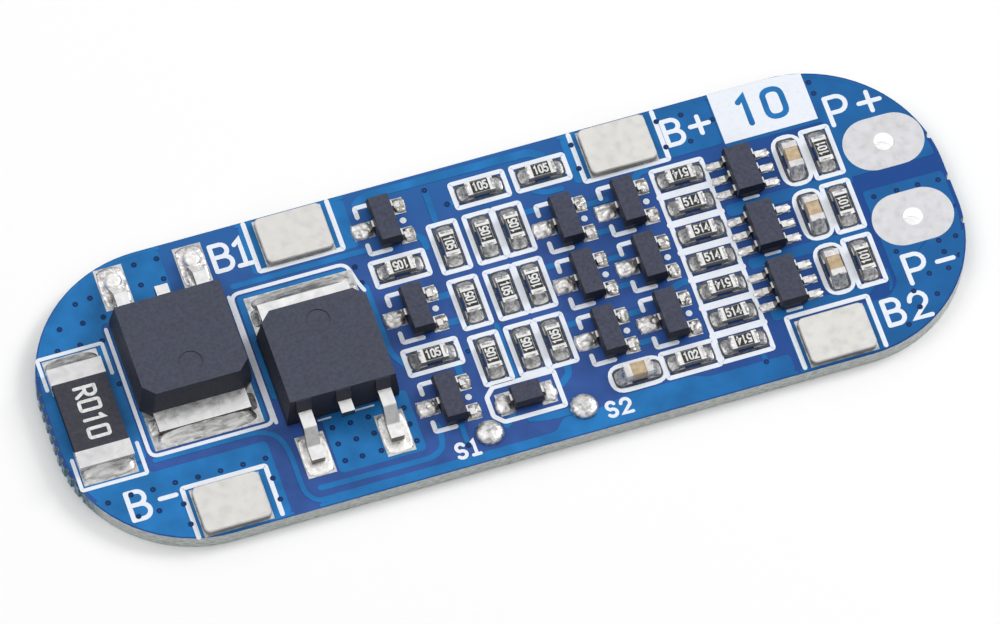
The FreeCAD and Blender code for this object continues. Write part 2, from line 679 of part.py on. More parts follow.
# Small moulded packages
def small_mould(name, along, across, height):
    """A mould that leans in above and below its parting line."""
    lean = " - 2 * sot_draft"
    parting = "sot_lead_top - sot_lead_thickness / 2"
    levels = (
        (along + lean, across + lean, "sot_standoff"),
        (along, across, parting),
        (along + lean, across + lean, height),
    )
    return drafted_mould(name, levels)


def small_lead(name, mould_half, wide, out="sot_lead_reach"):
    return gull_wing(
        name,
        root=f"{mould_half} - sot_lead_anchor",
        knee=f"{mould_half} + sot_knee",
        heel=f"{mould_half} + sot_heel",
        tip=f"{mould_half} + {out}",
        top="sot_lead_top",
        thick="sot_lead_thickness",
        wide=wide,
    )


def small_transistor():
    """Three leads: one on the left side, two on the right."""
    lead = small_lead("sot_lead", "sot_width / 2", "sot_lead_width")
    leads = group(
        "sot_leads",
        [copy_of(lead, turn="180"), copy_of(lead, y="sot_pitch"), copy_of(lead, y="-sot_pitch")],
    )
    mould = small_mould("sot_block", "sot_width", "sot_length", "sot_height")
    return cut("sot_mould", mould, leads), leads


def monitor_chip():
    """Six leads, three a side."""
    lead = small_lead("monitor_lead", "monitor_width / 2", "monitor_lead_width")
    leads = group(
        "monitor_leads",
        [copy_of(lead, y=f"{step} * sot_pitch", turn=turn) for turn in ("0", "180") for step in (-1, 0, 1)],
    )
    mould = small_mould("monitor_block", "monitor_width", "sot_length", "sot_height")
    return cut("monitor_mould", mould, leads), leads


def diode():
    lead = small_lead("diode_lead", "diode_length / 2", "sot_lead_width", "diode_lead_reach")
    leads = group("diode_leads", [copy_of(lead), copy_of(lead, turn="180")])
    mould = small_mould("diode_block", "diode_length", "diode_width", "diode_height")
    return cut("diode_mould", mould, leads), leads


# Solder
def solder_slope(name, start, run, high, wide):
    """A wedge of solder that starts against an upright metal face and runs out on its land."""
    body = doc.addObject("PartDesign::Body", name)
    sketch = new_sketch(body, name + "_side", "XZ_Plane")
    a, b, c = value(start), value(run), value(high)
    lines = closed_outline(sketch, [(a, 0), (a + b, 0), (a, c)])
    sketch.addConstraint(Sketcher.Constraint("Horizontal", lines[0]))
    sketch.addConstraint(Sketcher.Constraint("Vertical", lines[2]))
    sketch.addConstraint(Sketcher.Constraint("PointOnObject", lines[0], 1, -1))
    dimension(sketch, "start", start, "DistanceX", -1, 1, lines[0], 1)
    dimension(sketch, "run", run, "DistanceX", lines[0], 1, lines[0], 2)
    dimension(sketch, "rise", high, "DistanceY", lines[2], 2, lines[2], 1)
    pad(body, sketch, name + "_wedge", wide, symmetric=True)
    doc.recompute()
    return body


def two_ends(slope):
    return group(slope.Name + "_pair", [copy_of(slope), copy_of(slope, turn="180")])


def chip_solder():
    slope = solder_slope(
        "chip_slope", "chip_length / 2", "chip_land_outside", "chip_fillet_height", "chip_width"
    )
    return two_ends(slope)


def lead_slopes(name, tip, run, wide, places):
    """Slopes at the tips of leads; places hold a row and a turn."""
    slope = solder_slope(name + "_slope", tip, run, "sot_lead_thickness", wide)
    return [copy_of(slope, y=row, turn=turn) for row, turn in places]


def power_solder():
    half = "switch_length / 2"
    drain = solder_slope(
        "drain_slope", f"{half} + drain_reach", "drain_land_reach", "power_fillet_height", "drain_land_width"
    )
    lead = solder_slope(
        "lead_slope", f"{half} + lead_reach", "lead_land_reach", "power_fillet_height", "lead_width"
    )
    pieces = [copy_of(drain, turn="270")]
    pieces += [copy_of(lead, f"{side} * lead_pitch", turn="90") for side in (-1, 1)]
    return group("power_slopes", pieces)


def test_dome():
    """Solder drawn up into a cap, steep at its foot and flatter above."""
    levels = (("1", "0", "0.6"), ("0.8", "0.6", "1"))
    steps = []
    for number, (wide, low, high) in enumerate(levels):
        narrow = (levels + (("0.3", "", ""),))[number + 1][0]
        step = bind(
            doc.addObject("Part::Cone", f"dome_step_{number}"),
            Radius1=f"{wide} * test_pad_radius",
            Radius2=f"{narrow} * test_pad_radius",
            Height=f"({high} - {low}) * test_dome_height",
        )
        steps.append(place(step, z=f"{low} * test_dome_height"))
    return fuse("solder_dome", *steps)


# Lands: the tinned copper under each kind of part
def chip_lands():
    run = "(chip_land_inside + chip_land_outside)"
    middle = f"(chip_length / 2 + chip_land_outside - {run} / 2)"
    wide = "chip_width + land_margin"
    return group(
        "chip_lands",
        [box("chip_land", run, wide, "foil_thickness", f"{side} * {middle}") for side in (-1, 1)],
    )


def lead_lands(name, tip, kind, places):
    """Lands under leads with the sizes of one kind; places hold a side and a row."""
    middle = f"({tip} + {kind}_outside - {kind}_length / 2)"
    wide = "sot_land_width" if kind == "tail_land" else f"{kind}_width"
    return [
        box(name, f"{kind}_length", wide, "foil_thickness", f"{side} * {middle}", row)
        for side, row in places
    ]


def power_lands():
    half = "switch_length / 2"
    drain_run = f"({half} + drain_reach + drain_land_reach)"
    drain = box("drain_land", "drain_land_width", drain_run, "foil_thickness", "0", f"-{drain_run} / 2")
    lead_middle = f"{half} + lead_reach + lead_land_reach - lead_land_length / 2"
    leads = [
        box("lead_land", "lead_land_width", "lead_land_length", "foil_thickness", f"{side} * lead_pitch", lead_middle)
        for side in (-1, 1)
    ]
    return group("power_lands", [drain] + leads)


def shunt_lands():
    run = "(shunt_cap + chip_land_inside + drain_land_reach)"
    middle = f"(shunt_length / 2 + drain_land_reach - {run} / 2)"
    return group(
        "shunt_lands",
        [box("shunt_land", run, "shunt_width", "foil_thickness", f"{side} * {middle}") for side in (-1, 1)],
    )


# Print: frames, corner marks and dots
def corner_marks():
    """Two corner marks and a dot beside a small transistor."""
    half_line = "ink_line / 2"
    pieces = []
    for side in (-1, 1):
        row = f"{side} * (mark_end - {half_line})"
        pieces.append(box("mark_long", "mark_along", "ink_line", "ink_thickness", "mark_along / 2 - mark_out", row))
        row = f"{side} * (mark_end - mark_across / 2)"
        pieces.append(box("mark_short", "ink_line", "mark_across", "ink_thickness", f"{half_line} - mark_out", row))
    pieces.append(facets("mark_dot", "dot_radius", "ink_thickness", "dot_out", sides=8))
    return group("corner_marks", pieces)


def tab_frame():
    """Lines on three sides of a cell tab; the fourth side is the board's edge."""
    half = "(tab_length / 2 + tab_frame_margin - ink_line / 2)"
    inner = "(tab_width / 2 + ink_line)"
    run = "tab_width + 2 * ink_line"
    sides = [box("tab_side_line", "ink_line", run, "ink_thickness", f"{side} * {half}") for side in (-1, 1)]
    top = box("tab_inner_line", f"2 * {half} + ink_line", "ink_line", "ink_thickness", "0", inner)
    return group("tab_frame", sides + [top])


def switch_lines():
    """Lines round the two power transistors, with one line shared between them."""
    left = f"({column['left_switch']} - switch_width / 2 - 1.5 * ink_line)"
    shared = f"({column['left_switch']} + switch_width / 2 + 1.5 * ink_line)"
    right = f"({column['right_switch']} + switch_width / 2 - ink_line / 2)"
    drain_end = "(switch_length / 2 + drain_reach + drain_land_reach + 1.5 * ink_line)"
    low = f"({left_switch_row} - {drain_end})"
    high = f"({right_switch_row} + {drain_end})"
    lines = []
    for place_x in (left, shared):
        run = f"{high} - {low} + ink_line"
        lines.append(box("switch_line", "ink_line", run, "ink_thickness", place_x, f"({high} + {low}) / 2", INK))
    for start, end, row in ((left, shared, low), (shared, right, high)):
        run = f"{end} - {start} + ink_line"
        lines.append(box("switch_line", run, "ink_line", "ink_thickness", f"({start} + {end}) / 2", row, INK))
    short = "(drain_reach + drain_land_reach)"
    lines.append(box("switch_line", "ink_line", short, "ink_thickness", right, f"{high} - {short} / 2", INK))
    return lines


def print_layer():
    """All the white print as one layer."""
    chip_frame = ring("chip_frame", box, "print_length", "print_width", "ink_thickness")
    capacitor_frame = ring("capacitor_frame", printed_slot, "print_length", "print_width", "ink_thickness")
    rung_frame = ring("rung", box, "ladder_length", rung, "ink_thickness")
    shunt_run = "shunt_length + 2 * drain_land_reach + 2 * ink_line"
    shunt_ring = ring("shunt_ring", box, shunt_run, "shunt_width + 2.7 * ink_line", "ink_thickness")
    shunt_gap = box("shunt_gap", "shunt_length - 2 * shunt_cap", "2 * shunt_width", "ink_thickness")
    shunt_frame = cut("shunt_frame", shunt_ring, shunt_gap)
    marks = corner_marks()
    around_tab = tab_frame()
    pieces = [copy_of(chip_frame, x, y, INK, turn) for x, y, turn in BIAS_CHIPS + BLEED_CHIPS + FILTER_CHIPS]
    pieces += [copy_of(rung_frame, x, y, INK, turn) for x, y, turn in SENSE_CHIPS]
    pieces += [copy_of(capacitor_frame, x, y, INK, turn) for x, y, turn in CAPACITORS]
    pieces += [copy_of(marks, x, y, INK) for x, y in GATE_SOTS + DRIVER_SOTS]
    pieces += [copy_of(around_tab, x, y, INK, turn) for x, y, turn in TABS.values()]
    pieces.append(copy_of(shunt_frame, SHUNT[0] + " + 0.3 * ink_line", SHUNT[1], INK, SHUNT[2]))
    pieces += switch_lines()
    for x, y in MONITORS:
        row = f"{y} - sot_length / 2 - ink_line / 4"
        pieces.append(box("monitor_line", "sot_pitch", "ink_line", "ink_thickness", x, row, INK))
    diode_run = "diode_length + 2 * (diode_lead_reach + diode_land_outside + 1.8 * ink_line)"
    diode_ring = ring("diode_ring", box, diode_run, "diode_land_width + 3.2 * ink_line", "ink_thickness")
    pieces.append(copy_of(diode_ring, *DIODE, INK))
    block_row = f"{FAR} - block_width / 2 - ink_line"
    block_column = column["capacitor"] + " - 0.55"
    pieces.append(box("print_block", "block_length", "block_width", "ink_thickness", block_column, block_row, INK))
    layer = fuse("silkscreen", *pieces)
    layer.Refine = True
    return layer


def land_layer():
    """All the tinned lands on the upper face, apart from the wire pads."""
    chips = chip_lands()
    tail = lead_lands("tail_land", "(sot_width / 2 + sot_lead_reach)", "tail_land", [(-1, "0")])
    pair = [(1, "sot_pitch"), (1, "-sot_pitch")]
    pair_lands = lead_lands("sot_land", "(sot_width / 2 + sot_lead_reach)", "sot_land", pair)
    sots = group("sot_lands", tail + pair_lands)
    six = [(side, f"{step} * sot_pitch") for side in (-1, 1) for step in (-1, 0, 1)]
    six_lands = lead_lands("monitor_land", "(monitor_width / 2 + sot_lead_reach)", "monitor_land", six)
    monitors = group("monitor_lands", six_lands)
    both = [(-1, "0"), (1, "0")]
    diodes = group("diode_lands", lead_lands("diode_land", "(diode_length / 2 + diode_lead_reach)", "diode_land", both))
    power = power_lands()
    ends = shunt_lands()
    small = BIAS_CHIPS + BLEED_CHIPS + SENSE_CHIPS + FILTER_CHIPS + CAPACITORS
    pieces = [copy_of(chips, x, y, INK, turn) for x, y, turn in small]
    pieces += [copy_of(sots, x, y, INK) for x, y in GATE_SOTS + DRIVER_SOTS]
    pieces += [copy_of(monitors, x, y, INK) for x, y in MONITORS]
    pieces.append(copy_of(diodes, *DIODE, INK))
    pieces += [copy_of(power, x, y, INK, turn) for x, y, turn in (LEFT_SWITCH, RIGHT_SWITCH)]
    pieces.append(copy_of(ends, *SHUNT[:2], INK, SHUNT[2]))
    pieces += [
        box("tab_land", "tab_length + land_margin", "tab_width + land_margin", "foil_thickness", x, y, INK)
        for x, y, turn in TABS.values()
    ]
    pieces += [facets("test_land", "test_pad_radius", "foil_thickness", x, y, INK) for x, y in TEST_POINTS]
    return group("solder_lands", pieces)


# The board and what is printed and plated on it
eyelet, eyelet_blank = wire_pad()
laminate = board_outline()
spaces = group("eyelet_spaces", [copy_of(eyelet_blank, x, y) for x, y in WIRE_PADS])
holes = group("drilled_holes", [rod("hole", "wire_hole_diameter / 2", SEAT, x, y) for x, y in WIRE_PADS])
perforation = group("perforation", bites("left", 10, 1) + bites("right", 3, 4))
snapped = cut("laminate_snapped", laminate, perforation)
keep("circuit_board", cut("circuit_board", cut("laminate_cut", snapped, spaces), holes))
keep("wire_pads", group("wire_pads", [copy_of(eyelet, x, y) for x, y in WIRE_PADS]))
keep("solder_lands", land_layer())
keep("silkscreen", print_layer())

# Cell tabs
nickel = cell_tab()
for name, (x, y, turn) in TABS.items():
    keep(name, copy_of(nickel, x, y, SEAT, turn))

# Power transistors and shunt
switch_frame = power_frame()
switch_mould = power_mould(switch_frame)
for name, spot in (("left_switch", LEFT_SWITCH), ("right_switch", RIGHT_SWITCH)):
    x, y, turn = spot
    keep(name + "_mould", copy_of(switch_mould, x, y, SEAT, turn))
    keep(name + "_leads", copy_of(switch_frame, x, y, SEAT, turn))
shunt_block, shunt_caps = shunt()
keep("shunt_block", copy_of(shunt_block, *SHUNT[:2], SEAT, SHUNT[2]))
keep("shunt_end_caps", copy_of(shunt_caps, *SHUNT[:2], SEAT, SHUNT[2]))

# Small moulded parts
sot_mould, sot_leads = small_transistor()
for family, places in (("gate_transistor", GATE_SOTS), ("driver_transistor", DRIVER_SOTS)):
    for number, (x, y) in enumerate(places, start=1):
        keep(f"{family}_{number}_mould", copy_of(sot_mould, x, y, SEAT))
        keep(f"{family}_{number}_leads", copy_of(sot_leads, x, y, SEAT))
monitor_mould, monitor_leads = monitor_chip()
for number, (x, y) in enumerate(MONITORS, start=1):
    keep(f"monitor_chip_{number}_mould", copy_of(monitor_mould, x, y, SEAT))
    keep(f"monitor_chip_{number}_leads", copy_of(monitor_leads, x, y, SEAT))
diode_mould, diode_leads = diode()
keep("diode_mould", copy_of(diode_mould, *DIODE, SEAT))
keep("diode_leads", copy_of(diode_leads, *DIODE, SEAT))

# Chip resistors and capacitors
resistor_core, resistor_coat, resistor_caps = resistor()
BANKS = (("bias", BIAS_CHIPS), ("bleed", BLEED_CHIPS), ("sense", SENSE_CHIPS), ("filter", FILTER_CHIPS))
for bank, places in BANKS:
    spread(bank + "_resistor_cores", resistor_core, places)
    spread(bank + "_resistor_coats", resistor_coat, places)
    spread(bank + "_resistor_caps", resistor_caps, places)
capacitor_core, capacitor_caps = capacitor()
spread("capacitor_cores", capacitor_core, CAPACITORS)
spread("capacitor_caps", capacitor_caps, CAPACITORS)

# Solder on the power parts, on the small parts and on the two test points
power_slopes = power_solder()
shunt_slope = solder_slope(
    "shunt_slope", "shunt_length / 2", "drain_land_reach", "power_fillet_height", "shunt_width"
)
shunt_slopes = two_ends(shunt_slope)
keep(
    "power_solder",
    group(
        "power_solder",
        [copy_of(power_slopes, x, y, SEAT, turn) for x, y, turn in (LEFT_SWITCH, RIGHT_SWITCH)]
        + [copy_of(shunt_slopes, *SHUNT[:2], SEAT, SHUNT[2])],
    ),
)
chip_slopes = chip_solder()
sot_tip = "sot_width / 2 + sot_lead_reach"
tail_slopes = lead_slopes("tail", sot_tip, "tail_land_outside", "sot_land_width", [("0", "180")])
pair_rows = [("sot_pitch", "0"), ("-sot_pitch", "0")]
sot_slopes = group("sot_solder", tail_slopes + lead_slopes("sot", sot_tip, "sot_land_outside", "sot_land_width", pair_rows))
monitor_tip = "monitor_width / 2 + sot_lead_reach"
six_rows = [(f"{step} * sot_pitch", turn) for turn in ("0", "180") for step in (-1, 0, 1)]
monitor_slopes = group(
    "monitor_solder", lead_slopes("monitor", monitor_tip, "monitor_land_outside", "monitor_lead_width", six_rows)
)
diode_tip = "diode_length / 2 + diode_lead_reach"
diode_slopes = group(
    "diode_solder",
    lead_slopes("diode", diode_tip, "diode_land_outside", "diode_land_width", [("0", "0"), ("0", "180")]),
)
chip_places = BIAS_CHIPS + BLEED_CHIPS + SENSE_CHIPS + FILTER_CHIPS + CAPACITORS
small_solder = [copy_of(chip_slopes, x, y, SEAT, turn) for x, y, turn in chip_places]
small_solder += [copy_of(sot_slopes, x, y, SEAT) for x, y in GATE_SOTS + DRIVER_SOTS]
small_solder += [copy_of(monitor_slopes, x, y, SEAT) for x, y in MONITORS]
small_solder.append(copy_of(diode_slopes, *DIODE, SEAT))
keep("small_solder", group("small_solder", small_solder))
dome = test_dome()
spread("test_point_domes", dome, [(x, y, "0") for x, y in TEST_POINTS])

# Check every object, then write each sub-part
doc.recompute()
broken = [item.Name for item in doc.Objects if "Invalid" in item.State or "Error" in item.State]
if broken:
    raise RuntimeError("did not build: " + ", ".join(broken))
for name, item in nodes.items():
    shape = Part.getShape(item)
    if shape.isNull() or not shape.isValid() or not shape.Solids:
        raise RuntimeError(f"{name} has no valid solid")
for name, item in nodes.items():
    shape = Part.getShape(item)
    shape.exportStep(f"parts/{name}.step")
    print(f"{name}: {len(shape.Solids)} solids, {shape.Volume:.3f} mm3")
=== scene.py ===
import itertools
import json
import math

import bpy
from mathutils import Matrix, Vector, noise


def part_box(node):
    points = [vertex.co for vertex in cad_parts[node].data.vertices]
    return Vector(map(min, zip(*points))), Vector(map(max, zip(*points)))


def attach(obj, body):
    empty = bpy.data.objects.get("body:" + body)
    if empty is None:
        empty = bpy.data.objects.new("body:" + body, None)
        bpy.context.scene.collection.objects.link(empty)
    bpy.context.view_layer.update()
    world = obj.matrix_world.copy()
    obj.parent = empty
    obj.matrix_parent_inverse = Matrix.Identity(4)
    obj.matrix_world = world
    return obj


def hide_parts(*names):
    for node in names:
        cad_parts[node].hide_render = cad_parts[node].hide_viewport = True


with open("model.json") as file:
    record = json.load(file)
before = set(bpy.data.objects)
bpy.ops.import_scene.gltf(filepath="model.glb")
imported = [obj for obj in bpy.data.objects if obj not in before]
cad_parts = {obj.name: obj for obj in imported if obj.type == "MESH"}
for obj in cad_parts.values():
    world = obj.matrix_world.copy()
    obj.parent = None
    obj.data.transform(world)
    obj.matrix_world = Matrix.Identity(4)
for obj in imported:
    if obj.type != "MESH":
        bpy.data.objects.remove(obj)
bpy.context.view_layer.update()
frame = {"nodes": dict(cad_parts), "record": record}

# Everything below is drawn in millimetres
MM = 0.001
# Heights above the underside. Each layer has its own, because faces that coincide render black
BOARD_TOP = 1.0
COPPER_TOP = BOARD_TOP + 0.014
WELL_TOP = COPPER_TOP + 0.0115
RIM_TOP = COPPER_TOP + 0.0125
PRINT_TOP = BOARD_TOP + 0.028
WORD_TOP = PRINT_TOP + 0.003
FIGURE_TOP = PRINT_TOP + 0.006
RUNG_TOP = PRINT_TOP + 0.0135
INKED_WELL_TOP = PRINT_TOP + 0.0145
LAND_TOP = 1.04
SOLDER_RIM_TOP = LAND_TOP + 0.024
# Shapes of one layer that may cross differ by a step; the steps start again after this many
LAYER_STEP = 0.0025
LAYER_STEPS = 5
# How far a piece reaches into what carries it
SUNK = 0.01
# The pen of most of the white print
INK_LINE = 0.27


# The places of the parts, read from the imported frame
def corners(node):
    """Lowest and highest corner of a node, in millimetres."""
    low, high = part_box(node)
    return low / MM, high / MM


def solids(node):
    """The box of each separate solid of a node, in millimetres, as (lowest, highest) pairs."""
    mesh = frame["nodes"][node].data
    # points within a micrometre of each other are one
    keys = [tuple(round(value * 1e6) for value in vertex.co) for vertex in mesh.vertices]
    parent = {key: key for key in keys}

    def root(key):
        while parent[key] != key:
            key = parent[key]
        return key

    for face in mesh.polygons:
        first = root(keys[face.vertices[0]])
        for other in face.vertices[1:]:
            parent[root(keys[other])] = first
    groups = {}
    for vertex, key in zip(mesh.vertices, keys):
        groups.setdefault(root(key), []).append(vertex.co / MM)
    boxes = []
    for points in groups.values():
        low = Vector(min(point[axis] for point in points) for axis in range(3))
        high = Vector(max(point[axis] for point in points) for axis in range(3))
        boxes.append((low, high))
    return sorted(boxes, key=lambda pair: (round(pair[0].x, 2), -round(pair[0].y, 2)))


def middle(pair):
    return (pair[0] + pair[1]) / 2


def centre(node):
    return middle(corners(node))


def lies_across(pair):
    """True where a solid is longer across the board than along it."""
    extent = pair[1] - pair[0]
    return extent.y > extent.x


SMALL_TRANSISTORS = [f"gate_transistor_{number}" for number in range(1, 4)]
SMALL_TRANSISTORS += [f"driver_transistor_{number}" for number in range(1, 7)]
MONITOR_CHIPS = [f"monitor_chip_{number}" for number in range(1, 4)]
RESISTORS = ("bias_resistor", "bleed_resistor", "sense_resistor", "filter_resistor")


# Materials
def socket(node, name, value):
    node.inputs[name].default_value = value


def grey(level):
    return (level, level, level)


def shade(colour, share):
    return tuple(part * share for part in colour)


def fill_ramp(ramp, stops):
    """Puts (position, colour) pairs on a colour ramp."""
    points = ramp.color_ramp.elements
    while len(points) < len(stops):
        points.new(0.5)
    for point, (position, colour) in zip(points, stops):
        point.position = position
        point.color = (*colour, 1)


class Finish:
    """A procedural material."""

    def __init__(self, name, colour, roughness, metallic=0.0, specular=0.5):
        self.material = bpy.data.materials.new(name)
        self.material.use_nodes = True
        self.tree = self.material.node_tree
        self.link = self.tree.links.new
        self.shader = self.tree.nodes["Principled BSDF"]
        socket(self.shader, "Base Color", (*colour, 1))
        socket(self.shader, "Roughness", roughness)
        socket(self.shader, "Metallic", metallic)
        socket(self.shader, "Specular IOR Level", specular)
        self.place = self.add("TexCoord").outputs["Object"]
        self.material.diffuse_color = (*colour, 1)

    def add(self, kind):
        return self.tree.nodes.new("ShaderNode" + kind)

    def speckle(self, grain, detail=3.0, stretch=None, distortion=0.0):
        """A noise pattern whose blotches are about this many millimetres wide."""
        pattern = self.add("TexNoise")
        socket(pattern, "Scale", 1 / (grain * MM))
        socket(pattern, "Detail", detail)
        socket(pattern, "Distortion", distortion)
        source = self.place
        if stretch:
            mapping = self.add("Mapping")
            socket(mapping, "Scale", stretch)
            self.link(source, mapping.inputs["Vector"])
            source = mapping.outputs["Vector"]
        self.link(source, pattern.inputs["Vector"])
        return pattern.outputs["Fac"]

    def steps(self, factor, stops):
        """Colours along a pattern: (position, colour) pairs."""
        ramp = self.add("ValToRGB")
        fill_ramp(ramp, stops)
        self.link(factor, ramp.inputs["Fac"])
        return ramp.outputs["Color"]

    def between(self, factor, low, high, darkest=0.3, lightest=0.7):
        """A number that follows a pattern."""
        span = self.add("MapRange")
        socket(span, "From Min", darkest)
        socket(span, "From Max", lightest)
        socket(span, "To Min", low)
        socket(span, "To Max", high)
        self.link(factor, span.inputs["Value"])
        return span.outputs["Result"]

    def mix(self, factor, first, second):
        """The first colour where the factor is 0 and the second where it is 1."""
        blend = self.add("Mix")
        blend.data_type = "RGBA"
        self.link(factor, blend.inputs[0])
        for source, number in ((first, 6), (second, 7)):
            if isinstance(source, tuple):
                blend.inputs[number].default_value = (*source, 1)
            else:
                self.link(source, blend.inputs[number])
        return blend.outputs[2]

    def part(self, vector, axis, unsigned):
        """One axis of a vector, with or without its sign."""
        parts = self.add("SeparateXYZ")
        self.link(vector, parts.inputs["Vector"])
        if not unsigned:
            return parts.outputs[axis]
        size = self.add("Math")
        size.operation = "ABSOLUTE"
        self.link(parts.outputs[axis], size.inputs[0])
        return size.outputs[0]

    def upright(self):
        """1 on faces that look up or down, 0 on walls."""
        normal = self.add("NewGeometry").outputs["Normal"]
        return self.between(self.part(normal, "Z", True), 0.0, 1.0)

    def reach(self, axis, start, end, either_way=False):
        """0 up to one place along an axis and 1 beyond another, in millimetres from the middle."""
        return self.between(self.part(self.place, axis, either_way), 0.0, 1.0, start * MM, end * MM)

    def drive(self, name, source):
        self.link(source, self.shader.inputs[name])

    def bump(self, factor, height):
        """Fine relief, this many millimetres deep."""
        relief = self.add("Bump")
        socket(relief, "Strength", 1.0)
        socket(relief, "Distance", height * MM)
        self.link(factor, relief.inputs["Height"])
        self.drive("Normal", relief.outputs["Normal"])


# The mask towards the board's far edge, and towards its wire end
FAR_BLUE = (0.022, 0.118, 0.36)
RIGHT_BLUE = (0.012, 0.066, 0.27)
RIGHT_COPPER_BLUE = (0.013, 0.13, 0.38)
# Where each of them starts and where it is full, and where the snapped ends start
FAR_FADE = ("Y", 3.0, 8.5)
RIGHT_FADE = ("X", 3.0, 20.0)
RIGHT_COPPER_FADE = ("X", 5.0, 16.0)
SNAPPED_FROM = ("X", 25.0, 25.6)
# Colours of the torn glass fibres where the board was snapped off
SNAPPED_FIBRES = ((0.35, (0.03, 0.09, 0.16)), (0.55, (0.1, 0.2, 0.26)), (0.68, (0.45, 0.52, 0.5)))
# How much darker or lighter the mask's blotches, the dark fibres and a mould's painted-shade walls are
DARKER = 0.82
LIGHTER = 1.15
FIBRE_SHADE = 0.45
WALL_PAINTED_SHADE = 0.46


def mask_finish(name, colour, edge=None, far_end=None):
    """Glossy blue solder mask; edge colours the cut laminate, and far_end the wire end."""
    finish = Finish(name, colour, 0.32, specular=0.16)
    cloud = finish.speckle(1.6, 2)
    face = finish.steps(cloud, ((0.3, shade(colour, DARKER)), (0.7, shade(colour, LIGHTER))))
    if edge:
        face = finish.mix(finish.reach(*FAR_FADE), face, FAR_BLUE)
        face = finish.mix(finish.reach(*RIGHT_FADE), face, RIGHT_BLUE)
        fibre = finish.speckle(0.35, 4, stretch=(1, 1, 5))
        sawn = finish.steps(fibre, ((0.3, shade(edge, FIBRE_SHADE)), (0.62, edge)))
        snapped = finish.steps(finish.speckle(0.2, 4, stretch=(1, 1, 3)), SNAPPED_FIBRES)
        wall = finish.mix(finish.reach(*SNAPPED_FROM, either_way=True), sawn, snapped)
        face = finish.mix(finish.upright(), wall, face)
    if far_end:
        beyond = finish.steps(cloud, ((0.3, shade(far_end, DARKER)), (0.7, far_end)))
        face = finish.mix(finish.reach(*RIGHT_COPPER_FADE), face, beyond)
    finish.drive("Base Color", face)
    finish.drive("Roughness", finish.between(finish.speckle(0.5), 0.26, 0.42))
    finish.bump(finish.speckle(0.24, 2), 0.004)
    return finish.material


def ink_finish(name, worn, fresh):
    """Print with worn patches."""
    finish = Finish(name, fresh, 0.55, specular=0.3)
    finish.drive("Base Color", finish.steps(finish.speckle(0.22, 4), ((0.3, worn), (0.55, fresh))))
    finish.bump(finish.speckle(0.06), 0.006)
    return finish.material


def metal(name, dark, light, roughness, grain, relief, wall=None, glow=0.0, stretch=None):
    """Duller and brighter patches of metal; dark walls are painted shade, pale glowing ones painted
    light.
    """
    finish = Finish(name, light, roughness, metallic=0.9)
    patches = finish.speckle(grain, 4, stretch=stretch, distortion=0.6)
    face = finish.steps(patches, ((0.34, dark), (0.6, light)))
    # the walls take the wall colour: painted shade where it is dark, painted light where it is pale
    if wall:
        face = finish.mix(finish.upright(), wall, face)
    # the glowing walls are painted light
    if glow:
        socket(finish.shader, "Emission Strength", glow)
        finish.drive("Emission Color", finish.mix(finish.upright(), wall, grey(0.0)))
    finish.drive("Base Color", face)
    sheen = finish.between(finish.speckle(grain * 0.6), roughness * 0.7, roughness * 1.3)
    finish.drive("Roughness", sheen)
    finish.bump(finish.speckle(grain * 0.45, 3), relief)
    return finish.material


def mould_finish(name, dark, light, roughness):
    """Black moulding compound with a fine eroded grain, and painted shade that darkens its walls."""
    finish = Finish(name, light, roughness, specular=0.35)
    face = finish.steps(finish.speckle(0.2, 5), ((0.3, dark), (0.7, light)))
    # the walls take the darker colour as painted shade
    finish.drive("Base Color", finish.mix(finish.upright(), shade(dark, WALL_PAINTED_SHADE), face))
    sheen = finish.between(finish.speckle(0.12), roughness * 0.85, roughness * 1.1)
    finish.drive("Roughness", sheen)
    finish.bump(finish.speckle(0.05, 2), 0.01)
    return finish.material


def dull(name, dark, light, roughness, grain, relief, wall=None):
    """A dull body; a wall colour, where one is given, darkens its walls as painted shade."""
    finish = Finish(name, light, roughness)
    face = finish.steps(finish.speckle(grain, 4), ((0.35, dark), (0.65, light)))
    # the walls take the darker wall colour as painted shade
    if wall:
        face = finish.mix(finish.upright(), wall, face)
    finish.drive("Base Color", face)
    finish.bump(finish.speckle(grain * 0.5), relief)
    return finish.material


BARE_BLUE = (0.034, 0.092, 0.32)
COPPER_BLUE = (0.017, 0.172, 0.46)
copper_mask = mask_finish("mask_over_copper", COPPER_BLUE, far_end=RIGHT_COPPER_BLUE)
figure_blue = mask_finish("figure_blue", COPPER_BLUE)
via_dark = mask_finish("mask_in_via", (0.008, 0.034, 0.13))
ink = ink_finish("white_print", (0.78, 0.825, 0.9), (0.83, 0.87, 0.94))
value_ink = ink_finish("value_print", (0.55, 0.56, 0.56), (0.8, 0.81, 0.8))
# Metals: dark and light colour, roughness, width of a blotch, depth of the relief
# the power leads' walls are painted near black, as painted shade
power_tin = metal("power_lead", grey(0.88), grey(0.99), 0.36, 0.6, 0.006, wall=(0.15, 0.135, 0.125))
